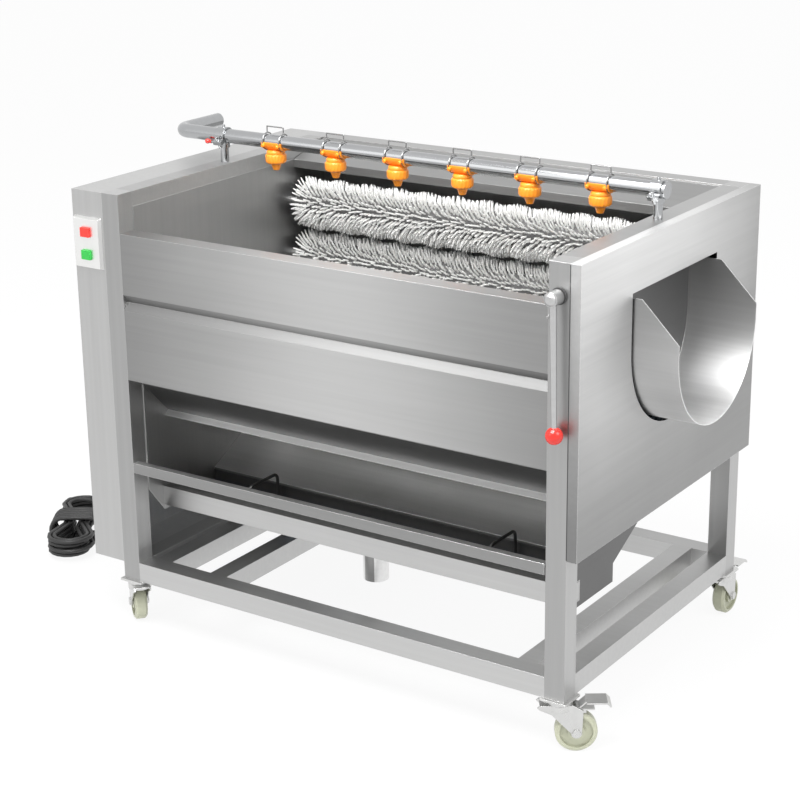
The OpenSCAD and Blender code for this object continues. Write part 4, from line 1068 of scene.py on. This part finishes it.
@dataclass
class Trim(Assembly):
    """Small fittings on the frame: rail cap, seam seal, lever knob and rivets. Sizes in millimetres."""

    rail_end: Triple = (922.0, 98.0, 151.0)
    cap_half: float = 17.4
    cap_corner: float = 3.0
    cap_points: int = 6
    cap_dome: Pairs = ((-8.0, 0.6), (-0.6, 0.0), (0.4, 0.5), (1.1, 3.0), (1.3, 7.0))
    post_x: float = 960.0
    seam_low: float = 256.0
    seam_high: float = 748.0
    seam_steps: int = 24
    seam: Pairs = ((-0.9, 0.0), (-0.63, -0.35), (0.63, -0.35), (0.9, 0.0))
    knob: Triple = (-7.0, 311.8, 789.5)
    knob_r: float = 4.9
    knob_neck: Pairs = ((-9.5, 2.4), (-9.5, 3.3), (-6.5, 3.4))
    knob_tip: float = 0.1
    back_y: float = 660.0
    dome: Pairs = ((0.0, 3.2), (0.585, 3.072), (1.04, 2.24), (1.3, 0.96), (1.326, 0.1))
    cover_x: tuple[float, ...] = (-60.0, -12.0)
    cover_z: tuple[float, ...] = (80.0, 260.0, 440.0, 620.0, 725.0)
    panel_x: tuple[float, ...] = (60.0, 275.0, 490.0, 705.0, 920.0)
    panel_z: tuple[float, ...] = (390.0, 698.0)

    def build(self) -> None:
        """Makes every fitting."""
        self.build_cap()
        self.build_seam()
        self.build_knob()
        self.build_rivets()

    def build_cap(self) -> None:
        """Makes the domed plug in the open end of the gutter rail."""
        x0, y0, z0 = self.rail_end
        corner, count, points = self.cap_corner, self.cap_points, []
        for x, cut in self.cap_dome:
            flat = self.cap_half - cut - corner
            for k in range(4 * count):
                a = math.radians(90 * (k // count) + 90 * (k % count) / (count - 1))
                middle = math.radians(45 + 90 * (k // count))
                dy = math.copysign(flat, math.cos(middle)) + corner * math.cos(a)
                dz = math.copysign(flat, math.sin(middle)) + corner * math.sin(a)
                points.append(at(x0 + x, y0 + dy, z0 + dz))
        self.mesh.add(points, bridge(len(self.cap_dome), 4 * count))
        self.make("rail_cap", ("rails_x",))

    def build_seam(self) -> None:
        """Makes the thin dark seal along the joint between the right post and the side pan."""
        rise = (self.seam_high - self.seam_low) / self.seam_steps
        heights = [self.seam_low + rise * k for k in range(self.seam_steps + 1)]
        points = [at(self.post_x + dx, dy, z) for z in heights for dx, dy in self.seam]
        self.mesh.add(points, bridge(len(heights), len(self.seam)))
        self.make("seam_seal", ("seal",))

    def build_knob(self) -> None:
        """Makes the red grip on the small clamp lever of the spray pipe."""
        arc = [math.radians(degrees) for degrees in range(45, 180, 9)]
        ball = tuple((-self.knob_r * math.cos(a), self.knob_r * math.sin(a)) for a in arc)
        profile = self.knob_neck + ball + ((self.knob_r, self.knob_tip),)
        self.lathe(profile, at(*self.knob), -AXIS_X, 24)
        self.make("clamp_lever_knob", ("ball",))

    def build_rivets(self) -> None:
        """Makes the domed rivets that hold the drive cover and the back panel."""
        places = [(x, z) for z in self.cover_z for x in self.cover_x]
        places += [(x, z) for x in self.panel_x for z in self.panel_z]
        for x, z in places:
            self.lathe(self.dome, at(x, self.back_y, z), AXIS_Y, 16)
        self.make("cover_rivets", ("zinc",))


@dataclass
class Camera:
    """The photograph's viewpoint, fitted to the frame's corners."""

    place_mm: Triple = (2374.9, -2553.6, 1518.6)
    azimuth: float = 34.18
    elevation: float = 18.72
    roll: float = -0.78
    focal_px: float = 1961.1
    picture_px: float = 800.0
    sensor_mm: float = 36.0

    def build(self) -> None:
        """Makes the camera and hands it to the scene."""
        a, e, r = (math.radians(v) for v in (self.azimuth, self.elevation, self.roll))
        back = Vector((math.sin(a) * math.cos(e), -math.cos(a) * math.cos(e), math.sin(e)))
        right = AXIS_Z.cross(back).normalized()
        up = back.cross(right)
        tilted = (math.cos(r) * right + math.sin(r) * up, math.cos(r) * up - math.sin(r) * right, back)
        data = bpy.data.cameras.new("view")
        data.sensor_width = self.sensor_mm
        data.lens = self.focal_px / self.picture_px * self.sensor_mm
        camera = linked(bpy.data.objects.new("view", data))
        camera.matrix_world = Matrix.Translation(at(*self.place_mm)) @ Matrix(tilted).transposed().to_4x4()
        bpy.context.scene.camera = camera


@dataclass(frozen=True)
class Lamp:
    """A square soft lamp that points at the machine. Sizes in metres, power in watts."""

    name: str
    place: Triple
    size: float
    power: float
    aim: Triple = (0.0, 0.0, 0.45)

    def build(self) -> None:
        """Makes the lamp."""
        data = bpy.data.lights.new(self.name, "AREA")
        data.size = self.size
        data.energy = self.power
        lamp = linked(bpy.data.objects.new(self.name, data))
        lamp.location = self.place
        aim = Vector(self.aim) - Vector(self.place)
        lamp.rotation_euler = aim.to_track_quat("-Z", "Y").to_euler()


@dataclass
class Studio:
    """White surroundings, a pale floor and three soft lamps."""

    sky: float = 0.80
    floor_m: float = 14.0
    floor_z: float = -0.0005
    floor_tone: float = 0.92
    floor_rough: float = 0.9
    floor_glow: float = 0.90
    lamps: tuple[Lamp, ...] = (
        Lamp("key", (3.4, -0.4, 3.0), 2.2, 62.0), Lamp("fill", (-1.8, -3.6, 2.4), 2.4, 18.0),
        Lamp("top", (0.1, -1.0, 2.3), 1.3, 70.0))

    def build(self) -> None:
        """Makes the world, the floor and the lamps."""
        self.build_world()
        self.build_floor()
        for lamp in self.lamps:
            lamp.build()
        bpy.context.scene.view_settings.view_transform = "Standard"

    def build_world(self) -> None:
        """Makes the sky: white to the camera and in reflections, a little less as light."""
        world = bpy.data.worlds.new("studio")
        bpy.context.scene.world = world
        world.use_nodes = True
        n = Nodes(world.node_tree)
        strength = n.grade(n.seen(), self.sky, 1.0)
        n.fill(world.node_tree.nodes["Background"].inputs, {"Color": grey(1.0), "Strength": strength})

    def build_floor(self) -> None:
        """Makes a wide plain floor that stays almost white to the camera and keeps the shadow."""
        mesh = bmesh.new()
        bmesh.ops.create_grid(mesh, x_segments=4, y_segments=4, size=self.floor_m)
        data = bpy.data.meshes.new("floor")
        mesh.to_mesh(data)
        mesh.free()
        floor = linked(bpy.data.objects.new("floor", data))
        floor.location = (0.0, 0.0, self.floor_z)
        material, n, shader = start_material("floor")
        n.fill(shader.inputs, {"Base Color": grey(self.floor_tone), "Roughness": self.floor_rough})
        glow = n.add("Emission", {"Color": grey(1.0)})
        share = n.math("MULTIPLY", n.seen(), self.floor_glow)
        blend = n.add("MixShader", {0: share, 1: shader.outputs[0], 2: glow.outputs[0]})
        n.fill(material.node_tree.nodes["Material Output"].inputs, {"Surface": blend.outputs[0]})
        data.materials.append(material)


def main() -> None:
    """Builds the studio and dresses the machine piece by piece."""
    logging.basicConfig(level=logging.INFO, format="%(message)s")
    Camera().build()
    Studio().build()
    wardrobe = Wardrobe()
    Lead(wardrobe).build()
    wardrobe.dress_nodes()
    Rollers(wardrobe).build()
    SprayBar(wardrobe).build()
    Trim(wardrobe).build()


if __name__ == "__main__":
    main()
